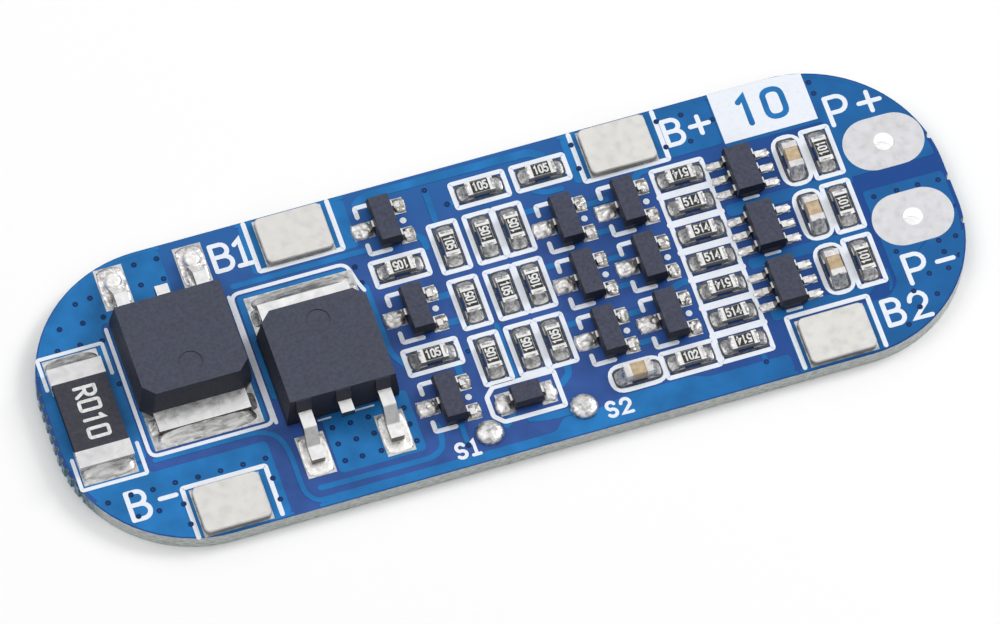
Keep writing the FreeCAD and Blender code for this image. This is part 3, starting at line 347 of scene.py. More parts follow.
# the resistor caps' walls are painted dark grey, as painted shade
rim_tin = metal("resistor_cap", grey(0.84), (0.96, 0.96, 0.95), 0.4, 0.5, 0.01, wall=grey(0.3))
solder = metal("solder", (0.4, 0.39, 0.38), grey(0.86), 0.42, 0.3, 0.03)
chip_solder = metal("chip_solder", grey(0.27), (0.74, 0.73, 0.72), 0.42, 0.24, 0.03)
bright_solder = metal("bright_solder", (0.62, 0.6, 0.59), (0.99, 0.98, 0.97), 0.44, 0.3, 0.03)
grey_solder = metal("grey_solder", (0.26, 0.25, 0.24), (0.66, 0.64, 0.61), 0.42, 0.26, 0.03)
drain_solder = metal(
    "drain_solder", (0.28, 0.275, 0.27), (0.74, 0.735, 0.73), 0.45, 0.28, 0.02, stretch=(0.3, 1, 1)
)
joint_solder = metal("joint_solder", (0.42, 0.41, 0.4), (1.0, 0.99, 0.98), 0.4, 0.3, 0.03)
land_solder = metal("land_solder", (0.78, 0.755, 0.73), (1.0, 0.99, 0.97), 0.5, 0.25, 0.012)
# the dark rim round the chips' lands: partly flux and the mask's opening, partly painted shadow
flux_and_shadow = dull("flux_and_painted_shadow", (0.02, 0.027, 0.046), (0.085, 0.1, 0.135), 0.4, 0.22, 0.012)
mould = mould_finish("moulding_compound", (0.042, 0.047, 0.072), (0.062, 0.068, 0.104), 0.6)
# The finish of each material slot, and of the nodes that differ from their slot
FINISHES = {
    "board": mask_finish("bare_mask", BARE_BLUE, edge=(0.58, 0.62, 0.6)),
    "tinned": metal("tinned_land", (0.42, 0.42, 0.43), (0.78, 0.79, 0.8), 0.36, 0.5, 0.02),
    "solder": solder,
    "print": ink,
    # the tabs' walls are painted dark, as painted shade
    "nickel": metal(
        "nickel_plate", (0.735, 0.725, 0.695), (0.765, 0.755, 0.725), 0.5, 0.9, 0.002,
        wall=(0.3, 0.29, 0.27),
    ),
    "mould": mould_finish("small_mould", (0.034, 0.038, 0.064), (0.06, 0.066, 0.106), 0.55),
    # the leads' walls are painted near black, as painted shade
    "leads": metal(
        "tinned_lead", grey(0.88), grey(0.99), 0.36, 0.6, 0.008, wall=(0.12, 0.115, 0.11)
    ),
    # the white ceramic's walls are painted dark grey, as painted shade
    "ceramic": dull(
        "white_ceramic", (0.55, 0.55, 0.53), (0.75, 0.75, 0.72), 0.5, 0.25, 0.004, wall=grey(0.2)
    ),
    "coat": mould_finish("resistor_coat", grey(0.016), (0.05, 0.048, 0.045), 0.3),
    "shunt_black": mould_finish("shunt_coat", (0.028, 0.028, 0.042), (0.047, 0.047, 0.068), 0.5),
    "capacitor_tan": dull("capacitor_body", (0.43, 0.31, 0.18), (0.6, 0.47, 0.31), 0.45, 0.35, 0.006),
}
OWN_FINISHES = {
    "left_switch_mould": mould,
    "right_switch_mould": mould,
    "left_switch_leads": power_tin,
    "right_switch_leads": power_tin,
    # the walls of the pads' holes are painted near white and glow, as painted light standing for light
    # through the holes
    "wire_pads": metal(
        "tinned_wire_pad", (0.685, 0.685, 0.7), (0.73, 0.73, 0.76), 0.5, 0.9, 0.006,
        wall=grey(0.97), glow=0.22,
    ),
    "capacitor_caps": metal("capacitor_cap", (0.72, 0.7, 0.69), (0.88, 0.87, 0.86), 0.4, 0.5, 0.01),
    "shunt_end_caps": metal("shunt_cap", (0.73, 0.72, 0.73), (0.83, 0.82, 0.83), 0.42, 0.7, 0.01),
}
OWN_FINISHES.update((bank + "_caps", rim_tin) for bank in RESISTORS)


def dress_frame():
    """Gives every part of the frame its finish."""
    for entry in frame["record"]["subparts"]:
        name = entry["node"]
        materials = frame["nodes"][name].data.materials
        materials.clear()
        materials.append(OWN_FINISHES.get(name, FINISHES[entry["material_slot"]]))


def new_object(name, data):
    thing = bpy.data.objects.new(name, data)
    bpy.context.scene.collection.objects.link(thing)
    return thing


# Meshes
class Pile:
    """The points and faces of one piece."""

    def __init__(self):
        self.points = []
        self.faces = []
        self.layers = 0

    def lift(self):
        """A little more height for each next shape, so that two that cross never share a face."""
        self.layers += 1
        return LAYER_STEP * (self.layers % LAYER_STEPS)

    def add(self, points, faces):
        """Points in millimetres, and faces that count them from 0."""
        start = len(self.points)
        self.points += [(x * MM, y * MM, z * MM) for x, y, z in points]
        self.faces += [[start + corner for corner in face] for face in faces]

    def strip(self, left, right, low, high, closed):
        """A ribbon of even height between two lines of the same number of points."""
        count = len(left)
        points = [(*spot, z) for z in (low, high) for line in (left, right) for spot in line]
        # from a point of the left line below: the right line below, and both lines above
        across, up, over = count, 2 * count, 3 * count
        faces = []
        for a in range(count if closed else count - 1):
            b = (a + 1) % count
            faces.append((a + up, a + over, b + over, b + up))
            faces.append((b, b + across, a + across, a))
            faces.append((a, a + up, b + up, b))
            faces.append((b + across, b + over, a + over, a + across))
        for a in () if closed else (0, count - 1):
            wall = (a, a + across, a + over, a + up)
            faces.append(wall[::-1] if a else wall)
        self.add(points, faces)

    def slab(self, outline, low, high, lean=0.0):
        """A flat plate with upright or slightly leaning walls."""
        count = len(outline)
        top = shrunk(outline, lean) if lean else outline
        points = [(*spot, low) for spot in outline] + [(*spot, high) for spot in top]
        faces = [tuple(range(count))[::-1], tuple(range(count, 2 * count))]
        for a in range(count):
            b = (a + 1) % count
            faces.append((a, b, b + count, a + count))
        self.add(points, faces)

    def skin(self, rows, base):
        """A closed lump: a grid of surface points with a flat underside."""
        across = len(rows[0])
        points = [point for row in rows for point in row]
        faces = []
        for r in range(len(rows) - 1):
            for c in range(across - 1):
                a = r * across + c
                faces.append((a, a + across, a + across + 1, a + 1))
        under = len(points)
        # round the grid: the first row, the last column, the last row and the first column
        rim = [*range(across), *range(2 * across - 1, under, across)]
        rim += [*range(under - 2, under - across, -1), *range(under - across, 0, -across)]
        points += [(points[corner][0], points[corner][1], base) for corner in rim]
        for number, corner in enumerate(rim):
            following = (number + 1) % len(rim)
            faces.append((corner, rim[following], under + following, under + number))
        faces.append(tuple(under + number for number in range(len(rim)))[::-1])
        self.add(points, faces)

    def build(self, name, slot, material, smooth=False, instead_of=()):
        """Makes the piece."""
        mesh = bpy.data.meshes.new(name)
        mesh.from_pydata(self.points, [], self.faces)
        mesh.validate()
        mesh.materials.append(material)
        if smooth:
            mesh.shade_smooth()
        piece = new_object(name, mesh)
        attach(piece, "root")
        if instead_of:
            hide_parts(*instead_of)


def shrunk(outline, step):
    """The outline moved inward, for outlines drawn anticlockwise."""
    moved = []
    count = len(outline)
    for number, (x, y) in enumerate(outline):
        before = Vector((x, y)) - Vector(outline[number - 1])
        after = Vector(outline[(number + 1) % count]) - Vector((x, y))
        inward = Vector((-before.y, before.x)).normalized()
        inward += Vector((-after.y, after.x)).normalized()
        inward.normalize()
        moved.append((x + inward.x * step, y + inward.y * step))
    return moved


# Outlines and lines
def arc(x, y, radius, start, end, count=8, tall=1.0):
    """Points on part of a circle, or of an oval where tall isn't 1; angles in degrees."""
    turns = [math.radians(start + (end - start) * step / count) for step in range(count + 1)]
    return [(x + radius * math.cos(turn), y + radius * tall * math.sin(turn)) for turn in turns]


def ring(x, y, radius):
    """Twelve points round a circle."""
    return arc(x, y, radius, 0, 330, 11)


def rectangle(x, y, along, across):
    """The corners of a rectangle round a place."""
    a, b = along / 2, across / 2
    return [(x - a, y - b), (x + a, y - b), (x + a, y + b), (x - a, y + b)]


def surround(pair, along, across):
    """The corners of a rectangle round a solid's middle, which lies as the solid does."""
    if lies_across(pair):
        along, across = across, along
    return rectangle(*middle(pair).xy, along, across)


# Points on a rounded corner, and the largest share of a side that one takes
CORNER_STEPS = 5
CORNER_SHARE = 0.49


def rounded(points, radius, closed=True):
    """The same line with its corners rounded."""
    result = []
    total = len(points)
    for number, point in enumerate(points):
        here = Vector(point)
        if not closed and number in (0, total - 1):
            result.append(tuple(here))
            continue
        back = Vector(points[number - 1]) - here
        ahead = Vector(points[(number + 1) % total]) - here
        reach = min(radius, back.length * CORNER_SHARE, ahead.length * CORNER_SHARE)
        start, end = here + back.normalized() * reach, here + ahead.normalized() * reach
        for step in range(CORNER_STEPS + 1):
            t = step / CORNER_STEPS
            result.append(tuple(start * (1 - t) ** 2 + here * 2 * t * (1 - t) + end * t * t))
    return result


def sides_of(points, width, closed):
    """The two edges of a drawn line."""
    left, right = [], []
    last = len(points) - 1
    for number, point in enumerate(points):
        here = Vector(point)
        arrive = here - Vector(points[number - 1])
        leave = Vector(points[number + 1 if number < last else 0]) - here
        if not closed:
            arrive = arrive if number else leave
            leave = leave if number < last else arrive
        arrive, leave = arrive.normalized(), leave.normalized()
        normal = Vector((-arrive.y - leave.y, arrive.x + leave.x))
        normal.normalize()
        # a mitred corner is wider, up to twice
        straight = max(0.5, normal.dot(Vector((-arrive.y, arrive.x))))
        offset = normal * (width / 2 / straight)
        left.append(tuple(here + offset))
        right.append(tuple(here - offset))
    return left, right


# The places of the points on a round line end, in degrees from the line's side
END_TURNS = (30, 60, 82)


def draw(pile, points, width, low, high, closed=False):
    """A drawn line; an open one has round ends."""
    left, right = sides_of(points, width, closed)
    for end, beyond in () if closed else ((0, 1), (-1, -2)):
        out = Vector(points[end]) - Vector(points[beyond])
        heading = math.atan2(out.y, out.x)
        tips_left, tips_right = [], []
        for turn in END_TURNS:
            side = math.radians(90 - turn)
            tip = math.cos(side) * width / 2
            half = math.sin(side) * width / 2 * (-1 if end else 1)
            spot = Vector(points[end]) + Vector((math.cos(heading), math.sin(heading))) * tip
            across = Vector((-math.sin(heading), math.cos(heading))) * half
            tips_left.append(tuple(spot - across))
            tips_right.append(tuple(spot + across))
        if end:
            left, right = left + tips_left, right + tips_right
        else:
            left, right = tips_left[::-1] + left, tips_right[::-1] + right
    pile.strip(left, right, low, high, closed)


# Lettering, drawn with a pen of even width: each stroke runs in a cell one unit high
GLYPH_WIDTH = 0.62


def bowl(right, low, high):
    """The round side of a B, P or R."""
    radius = (high - low) / 2
    bend = arc(right - radius, low + radius, radius, 80, -80)
    return [(0, high), (right - radius, high)] + bend + [(right - radius, low), (0, low)]


STEM = [(0, 0), (0, 1)]
# The strokes of each letter. The O is the squarer zero of the shunt's value
GLYPHS = {
    "0": [rounded(rectangle(0.31, 0.5, GLYPH_WIDTH, 1.0), 0.3)[:-1]],
    "O": [rounded(rectangle(0.31, 0.5, GLYPH_WIDTH, 1.0), 0.12)],
    "1": [[(0.14, 0.84), (0.34, 1.0), (0.34, 0)]],
    "2": [arc(0.3, 0.7, 0.3, 175, -35, 9) + [(0, 0), (0.62, 0)]],
    "4": [[(0.48, 0), (0.48, 1), (0, 0.3), (0.64, 0.3)]],
    "5": [[(0.58, 1), (0.08, 1), (0.05, 0.6)] + arc(0.28, 0.32, 0.32, 100, -150, 9)],
    "B": [STEM, bowl(0.56, 0.53, 1.0), bowl(0.62, 0, 0.53)],
    "P": [STEM, bowl(0.62, 0.44, 1.0)],
    "R": [STEM, bowl(0.6, 0.48, 1.0), [(0.26, 0.48), (0.62, 0)]],
    "S": [arc(0.3, 0.75, 0.27, 25, 250) + arc(0.3, 0.25, 0.29, 80, -150, tall=0.9)],
    "+": [[(0, 0.5), (0.7, 0.5)], [(0.35, 0.15), (0.35, 0.85)]],
    "-": [[(0, 0.5), (0.54, 0.5)]],
}
CLOSED_GLYPHS = "0O"
ONE_FOOT = [(0.1, 0), (0.58, 0)]


def write(pile, text, x, y, low, high, height, pen, step, turn=0.0, narrow=1.0, foot=False):
    """Lettering centred on a place; step is from letter to letter, and foot a bar under each 1."""
    length = (len(text) - 1) * step + GLYPH_WIDTH
    spin = Matrix.Rotation(math.radians(turn), 2)
    for number, letter in enumerate(text):
        strokes = GLYPHS[letter] + ([ONE_FOOT] if foot and letter == "1" else [])
        for layer, stroke in enumerate(strokes):
            spots = []
            for u, v in stroke:
                local = Vector((u + number * step - length / 2, v - 0.5))
                local.x *= narrow
                moved = spin @ (local * height)
                spots.append((x + moved.x, y + moved.y))
            top = high + layer * LAYER_STEP
            draw(pile, spots, pen, low, top, closed=letter in CLOSED_GLYPHS)


# The board: its edges, the copper under the mask and the small holes through it
board_low, board_high = corners("circuit_board")
HALF_LONG = (board_high.x - board_low.x) / 2
HALF_WIDE = (board_high.y - board_low.y) / 2
CORNER = 7.8


def board_line(inset):
    """The board's outline, moved inward."""
    a, b, r = HALF_LONG - inset, HALF_WIDE - inset, CORNER - inset
    line = []
    for side_x, side_y, start in ((1, -1, -90), (1, 1, 0), (-1, 1, 90), (-1, -1, 180)):
        line += arc(side_x * (a - r), side_y * (b - r), r, start, start + 90, 12)
    return line


def clipped(outline, fence):
    """The part of an outline inside a convex fence drawn anticlockwise."""
    inside = list(outline)
    for number in range(len(fence)):
        start, end = Vector(fence[number]), Vector(fence[(number + 1) % len(fence)])
        along = end - start
        kept = []
        for index, point in enumerate(inside):
            previous = Vector(inside[index - 1])
            here = Vector(point)
            side_before = along.cross(previous - start)
            side_here = along.cross(here - start)
            if (side_before < 0) != (side_here < 0):
                share = side_before / (side_before - side_here)
                kept.append(tuple(previous + (here - previous) * share))
            if side_here >= 0:
                kept.append(point)
        inside = kept
    return inside


# Copper areas, each drawn past the board's edge and clipped to it
ZONES = (
    # left end, above and around the shunt
    [(-27, 10), (-27, -3.4), (-21.75, -3.4), (-21.75, 5.3), (-17.3, 5.3), (-17.3, 10)],
    # battery minus
    [(-27, -3.55), (-21.9, -3.55), (-21.9, -4.25), (-15.15, -4.25), (-15.15, -10), (-27, -10)],
    # under the left power transistor
    [(-21.35, 4.9), (-21.35, -3.1), (-14.65, -3.1), (-14.65, 4.9)],
    # under the right power transistor
    [(-14.1, 4.75), (-14.1, -2), (-7.2, -2), (-7.5, 4.75)],
    # between its leads
    [(-11.9, -3.5), (-11.9, -7.45), (-6.85, -7.45), (-6.85, -3.5)],
    # beside the first cell tab
    [(-12.7, 5.75), (-6.5, 5.75), (-6.5, 10), (-12.7, 10)],
    # along the near edge
    [(-13.5, -8.5), (0.3, -8.5), (0.9, -7.8), (3.4, -7.8), (4.6, -7.45), (8.6, -7.45),
     (9.4, -7.75), (14.2, -7.75), (14.2, -10), (-13.5, -10)],
    # battery plus
    [(6.25, 5.9), (15, 5.9), (15, 10), (6.25, 10)],
    # between the monitor chips
    [(13.75, 1.35), (21.2, 1.35), (21.2, 2.15), (13.75, 2.15)],
    [(13.85, -2.15), (21, -2.15), (21, -1.45), (13.85, -1.45)],
    [(14, -5.6), (19.6, -5.6), (20.4, -5), (20.4, -4.9), (14, -4.9)],
    # load plus
    [(20.8, 1.75), (27, 1.75), (27, 10), (15, 10), (15, 5.6), (20.8, 5.6)],
    # load minus
    [(21.4, 0.7), (21.4, -5.3), (20.7, -6), (14.5, -6), (14.5, -10), (27, -10), (27, 0.7)],
)
# Tracks: their points and width
TRACES = (
    ([(-21.4, -3.62), (-15.5, -3.62), (-14.5, -4.1), (-14.15, -5.2), (-14.15, -8),
      (-13.6, -8.7), (-12.6, -8.75)], 0.3),
    ([(-13.2, -7.95), (-6.7, -8), (-6, -7.6), (-5.85, -6.8), (-5.85, -6.2)], 0.34),
    ([(-6.95, 3.2), (-6.95, -1.2), (-6.3, -2.2)], 0.34),
    ([(-14, 5.42), (-6.2, 5.42)], 0.34),
    ([(-5.9, 8.3), (-5.3, 8.7), (4.4, 8.62), (5, 8.2)], 0.5),
    ([(-3.5, 5.6), (-2.95, 5.2), (-2.95, 4.6)], 0.4),
    *(([(-3.7, y), (-2.6, y)], 0.4) for y in (1.4, -0.3)),
    ([(-3.65, -2.9), (-3.65, -3.7)], 0.4),
    ([(-2.8, -2.3), (-2.5, -2.3)], 0.4),
    ([(-0.78, -1.2), (-0.78, -4.9)], 0.3),
    ([(-2.2, -7.3), (-1.7, -6.9)], 0.4),
    ([(-0.8, -7.3), (0.2, -7.5), (1.7, -7.55)], 0.45),
    ([(2.15, -4.9), (2.1, -5.3), (1.5, -5.8)], 0.4),
    ([(-4.6, -7.85), (-4.6, -6.6)], 0.3),
    ([(-1.95, 8.05), (-1.95, 6.1)], 0.36),
    ([(-1, 6.85), (-0.6, 6.85)], 0.3),
    ([(12.8, -7.85), (12.8, -7.2)], 0.3),
    ([(6.3, 4.5), (7.6, 4.5)], 0.34),
    *(([(6.3, y), (7.4, y)], 0.34) for y in (2.6, 0.85, -0.95, -2.75, -4.65)),
    *(([(2.9, y), (3.7, y)], 0.34) for y in (5.05, 1.4, -2.4)),
    ([(9.4, 5.2), (9.9, 5.6), (10.3, 5.6)], 0.4),
    ([(9.4, -1.9), (9.9, -1.75), (10.3, -1.75)], 0.4),
    ([(3.9, 6.2), (4.5, 5.9), (5.4, 5.9)], 0.34),
    ([(20.9, -5.6), (21.1, -5.2), (21.1, -4.4)], 0.2),
)
SMALL_HOLES = (
    (-22.7, 6.97), (-21.8, 7.1), (-24.5, 4.45), (-23.2, 4.45), (-21.95, 4.35), (-21.85, 1.5),
    (-18.85, 8.37), (-17.53, 8.37), (-18.85, 7.05), (-17.53, 7.05), (-24.65, -5.35), (-22.05, -5.3),
    (-20.75, -5.25), (-19.45, -5.3), (-18.15, -5.3), (-16.85, -5.3), (-15.55, -5.3), (-22.1, -6.65),
    (-7.15, 4.6), (-7.1, 3.55), (-11.45, -4.6), (-10.4, -4.6), (-9.35, -4.55), (-7.3, -4.6),
    (-11.45, -5.65), (-10.4, -5.65), (-9.35, -5.6), (-7.3, -5.65), (-11.4, -6.75), (-10.4, -6.75),
    (-9.3, -6.75), (-7.25, -6.75), (-2.8, -2.3), (10.6, -6.45), (13.3, 8.35), (13.3, 6.6),
    (14.9, 7.55), (20.9, 7.45), (20.85, 8.2), (21.95, 0.2), (23.3, 0.2), (24.55, 0.2),
    (25.75, 0.15), (22, -3.45), (24.5, -3.5), (25.5, -3.5), (24.55, -4.25), (25.3, -4.7),
    (23.3, -5.3), (24.45, -5.3), (23.3, -6.65), (21.1, -7.2), (21.15, -8), (-1.95, 8.05),
    (-1, 6.85), (12.8, -7.85),
)
# Small holes that the white print runs over
INKED_HOLES = (
    (11.85, 8.35), (11.85, 6.65), (6.8, 8.35), (6.75, 6.8), (22.1, -6.1), (22.1, -7.15),
    (-22.65, 5.72), (-24, 5.72), (-21.45, 5.75), (-23.3, -6.65), (-23.3, -5.25), (-4.6, -7.85),
    (-20.7, -6.65), (-20.7, -7.95), (-15.55, -6.6), (-15.55, -7.95),
)
# For each kind of hole: its places, its ring's middle radius and width, and its height
HOLES = ((SMALL_HOLES, 0.1, 0.13, WELL_TOP), (INKED_HOLES, 0.085, 0.15, INKED_WELL_TOP))
# The copper stays this far from the edge, to clear the bites in the snapped ends
COPPER_INSET = 0.22
COPPER_FOOT = BOARD_TOP - SUNK
COPPER_LEAN = 0.02
ZONE_CORNER = 0.3
TRACE_CORNER = 0.6
# The hole in the copper at a wire pad, and the slit that joins it to the outline under the land
PAD_HOLE = 0.66
SLIT = 0.08
# A copper line closer to the edge, away from the bites. Round: the first and last point of the
# outline, and the x before or after them. Straight: the side, and both ends' x
RIM_INSET = 0.17
RIM_LINE = 0.2
ROUND_RIMS = (
    (26, 36, -17.3, None), (43, 51, None, -15.15), (0, 10, 14.5, None), (15, 25, None, 6.25),
)
STRAIGHT_RIMS = ((-1, -13.5, 14.2), (1, -12.7, -6.5))


def pierced(outline, x, y):
    """The outline with a wire pad's hole in it, where it goes round that pad."""
    crossed = []
    for number, (a, b) in enumerate(zip(outline, outline[1:] + outline[:1])):
        if (a[1] > y) != (b[1] > y):
            edge = a[0] + (b[0] - a[0]) * (y - a[1]) / (b[1] - a[1])
            if edge > x:
                crossed.append((number + 1, edge))
    if len(crossed) % 2 == 0:
        return outline
    number, edge = crossed[0]
    half = math.degrees(math.asin(SLIT / 2 / PAD_HOLE))
    hole = arc(x, y, PAD_HOLE, -half, half - 360, 24)
    path = [(edge, y - SLIT / 2)] + hole + [(edge, y + SLIT / 2)]
    return outline[:number] + path + outline[number:]


def make_board():
    """The copper that shows through the mask, and the small holes."""
    copper = Pile()
    fence = board_line(COPPER_INSET)
    pads = [middle(pad) for pad in solids("wire_pads")]
    for zone in ZONES:
        shape = clipped(zone, fence)
        # the slab and the hole need an outline drawn anticlockwise
        if sum(a[0] * b[1] - a[1] * b[0] for a, b in zip(shape, shape[1:] + shape[:1])) < 0:
            shape = shape[::-1]
        shape = rounded(shape, ZONE_CORNER)
        for pad in pads:
            shape = pierced(shape, pad.x, pad.y)
        copper.slab(shape, COPPER_FOOT, COPPER_TOP + copper.lift(), lean=COPPER_LEAN)
    for points, width in TRACES:
        track = rounded(points, TRACE_CORNER, closed=False)
        draw(copper, track, width, COPPER_FOOT, COPPER_TOP + copper.lift())
    edge = HALF_WIDE - RIM_INSET
    rims = []
    for first, last, before, after in ROUND_RIMS:
        rim = board_line(RIM_INSET)[first:last + 1]
        if before is None:
            rims.append(rim + [(after, rim[-1][1])])
        else:
            rims.append([(before, rim[0][1])] + rim)
    rims += [[(start, side * edge), (end, side * edge)] for side, start, end in STRAIGHT_RIMS]
    for rim in rims:
        draw(copper, rim, RIM_LINE, COPPER_FOOT, RIM_TOP)
    copper.build("mask_over_copper", "board", copper_mask)
    wells = Pile()
    for holes, radius, pen, top in HOLES:
        for x, y in holes:
            draw(wells, ring(x, y, radius), pen, BOARD_TOP, top, closed=True)
    wells.build("small_holes", "board", via_dark)


# White print. The frame round a chip, to the middle of its line
FRAME_LONG = 3.34 - INK_LINE
FRAME_WIDE = 1.83 - INK_LINE
FRAME_CORNER = 0.12
CAPACITOR_FRAME_CORNER = 0.78
# The ladder round the sense resistors: how much less than their frames it is, and its rungs' line
LADDER_NARROWER = 0.1
LADDER_SHORTER = 0.25
RUNG_LINE = 0.42


def line(pile, points, closed=False, corner=FRAME_CORNER, pen=INK_LINE):
    """A printed line."""
    draw(pile, rounded(points, corner, closed), pen, BOARD_TOP, PRINT_TOP + pile.lift(), closed)


def chip_frames(pile):
    for bank in ("bias_resistor", "bleed_resistor", "filter_resistor", "capacitor"):
        corner = CAPACITOR_FRAME_CORNER if bank == "capacitor" else FRAME_CORNER
        for chip in solids(bank + "_cores"):
            line(pile, surround(chip, FRAME_LONG, FRAME_WIDE), closed=True, corner=corner)
    rungs = [middle(chip) for chip in solids("sense_resistor_cores")]
    step = (rungs[0].y - rungs[-1].y) / (len(rungs) - 1)
    tall = step * len(rungs) - LADDER_SHORTER
    between = (rungs[0].y + rungs[-1].y) / 2
    ladder = rectangle(rungs[0].x, between, FRAME_LONG - LADDER_NARROWER, tall)
    line(pile, ladder, closed=True)
    for spot in rungs[1:]:
        row = spot.y + step / 2
        draw(pile, [(ladder[0][0], row), (ladder[1][0], row)], RUNG_LINE, BOARD_TOP, RUNG_TOP)


def corner_marks(pile):
    """Two corner marks and a dot beside each small transistor, and a bar at each monitor chip."""
    back, away, arm, leg = 1.28, 1.52, 1.16, 0.6
    dot_away, dot_radius = 1.1, 0.19
    bar_half, bar_away, bar_pen = 0.4, 0.05, 0.18
    for name in SMALL_TRANSISTORS:
        x, y = centre(name + "_mould").xy
        west = x - back
        for side in (-1, 1):
            end = y + side * away
            line(pile, [(west + arm, end), (west, end), (west, y + side * (away - leg))])
        pile.slab(ring(x + dot_away, y, dot_radius), BOARD_TOP, PRINT_TOP)
    for name in MONITOR_CHIPS:
        x, y = centre(name + "_mould").x, corners(name + "_mould")[0].y - bar_away
        line(pile, [(x - bar_half, y), (x + bar_half, y)], pen=bar_pen)


# Where the cell tabs' frames end, from the near edge and from the far edge
NEAR_GAP = 0.3
FAR_GAP = 0.14
# Each cell tab's printed frame: its distance from the tab on the left, on the right and inward
TAB_MARGINS = (
    ("tab_b_minus", 0.38, 0.54, 0.3),
    ("tab_b1", 0.54, 0.46, 0.14),
    ("tab_b_plus", 0.44, 0.6, 0.14),
    ("tab_b2", 0.4, 0.47, 0.42),
)


def tab_frames(pile):
    """Three sides round each cell tab; the board's edge is the fourth."""
    for name, west, east, inside in TAB_MARGINS:
        low, high = corners(name)
        if middle((low, high)).y < 0:
            inner, outer = high.y + inside, -HALF_WIDE + NEAR_GAP
        else:
            inner, outer = low.y - inside, HALF_WIDE - FAR_GAP
        left, right = low.x - west, high.x + east
        line(pile, [(left, outer), (left, inner), (right, inner), (right, outer)])


# The thinner lines round the power parts, their corners, and the lines at a mould's foot
POWER_LINE = 0.22
POWER_CORNER = 0.5
FOOT_LINE = 0.1
FOOT_LINES = ((-12.05, -11.35), (-10.15, -8.85))


def power_lines(pile):
    """The lines round both power transistors, the shunt and the diode."""
    low, high = corners("left_switch_mould")
    left, shared = low.x - 0.25, high.x + 0.37
    second = shared + 0.12
    bottom, top = -3.37, 4.95
    for points in (
        [(left, top), (left, bottom), (shared, bottom), (shared, top - 0.1)],
        [(second, bottom), (second, top), (-7.6, top), (-7.3, 3.6), (-7.1, 3.05)],
    ):
        line(pile, points, corner=POWER_CORNER, pen=POWER_LINE)
    # thin white lines along the foot of the right switch's mould, drawn with the print's ink
    foot = corners("right_switch_mould")[0].y - 0.07
    for start, end in FOOT_LINES:
        line(pile, [(start, foot), (end, foot)], pen=FOOT_LINE)
    low, high = corners("shunt_end_caps")
    west, east = low.x - 0.2, high.x + 0.4
    outer, inner = high.y + 1.05, high.y - 0.9
    for side in (-1, 1):
        near, far = side * inner, side * outer
        line(pile, [(west, near), (west, far), (east, far), (east, near)], pen=POWER_LINE)
    low, high = corners("diode_mould")
    west, east = low.x - 1.2, high.x + 1.1
    south, north = low.y - 0.42, high.y + 0.56
    cut = 0.5
    cut_side = [(west + cut, south), (west, south + cut), (west, north - cut), (west + cut, north)]
    line(pile, cut_side[1:] + [(east, north), (east, south)] + cut_side[:1], closed=True)


# Terminal names: text, middle, height, letter step and pen
SMALL_PEN = 0.2
LEGENDS = (
    ("B1", -13.46, 7.37, 1.62, 0.71, INK_LINE),
    ("B+", 13.3, 7.45, 1.55, 0.96, INK_LINE),
    ("P+", 22.75, 6.05, 1.75, 1.02, INK_LINE),
    ("P-", 23.62, -4.75, 1.75, 1.02, INK_LINE),
    ("B2", 21.37, -7.0, 1.55, 0.98, INK_LINE),
    ("B-", -22.2, -5.98, 1.7, 1.03, INK_LINE),
    ("S1", -4.72, -8.1, 0.86, 0.88, SMALL_PEN),
    ("S2", 4.08, -8.12, 0.86, 0.98, SMALL_PEN),
)
# The printed block, how close to the board's edge it runs, and the figure on it
BLOCK = rectangle(17.85, 7.55, 5.5, 3.4)
BLOCK_INSET = 0.02
FIGURE = {"x": 17.75, "y": 7.55, "height": 1.75, "pen": 0.34, "step": 0.95}


def make_print():
    frames, marks, words, block, figure = (Pile() for _ in range(5))
    chip_frames(frames)
    tab_frames(frames)
    power_lines(frames)
    corner_marks(marks)
    for text, x, y, height, step, pen in LEGENDS:
        write(words, text, x, y, BOARD_TOP, WORD_TOP, height, pen, step, foot=True)
    block.slab(clipped(BLOCK, board_line(BLOCK_INSET)), BOARD_TOP, PRINT_TOP)
    write(figure, "10", low=PRINT_TOP - SUNK, high=FIGURE_TOP, **FIGURE)
    frames.build("printed_frames", "print", ink, instead_of=("silkscreen",))
    marks.build("printed_marks", "print", ink)
    words.build("printed_legends", "print", ink)
    block.build("printed_block", "print", ink)
    figure.build("figure_on_block", "board", figure_blue)


# Values on the chips: for each bank the text and, chip by chip, the direction in which it reads
VALUES = {
    "bias_resistor": [("105", 180)] + [("105", 0)] * 3 + [("102", 0)],
    "bleed_resistor": [("105", turn) for turn in (-90, 90, 90, 90, -90, 90, 90, 90, 90)],
    "sense_resistor": [("514", turn) for turn in (180, 0, 0, 0, 180, 0, 180)],
    "filter_resistor": [("101", 90)] * 3,
}
CHIP_VALUE = {"height": 0.47, "pen": 0.1, "step": 0.92, "narrow": 0.68}
SHUNT_VALUE = {"height": 1.14, "pen": 0.2, "step": 0.94, "narrow": 0.8, "turn": -90}
CHIP_VALUE_THICK = 0.018
SHUNT_VALUE_THICK = 0.02


def make_values():
    chips, big = Pile(), Pile()
    for bank, values in VALUES.items():
        for chip, (text, turn) in zip(solids(bank + "_coats"), values):
            spot = middle(chip)
            low = chip[1].z - SUNK
            write(chips, text, spot.x, spot.y, low, low + CHIP_VALUE_THICK, turn=turn, **CHIP_VALUE)
    spot = centre("shunt_block")
    low = corners("shunt_block")[1].z - SUNK
    write(big, "RO1O", spot.x + 0.1, spot.y, low, low + SHUNT_VALUE_THICK, **SHUNT_VALUE)
    chips.build("chip_values", "print", value_ink)
    big.build("shunt_value", "print", value_ink)


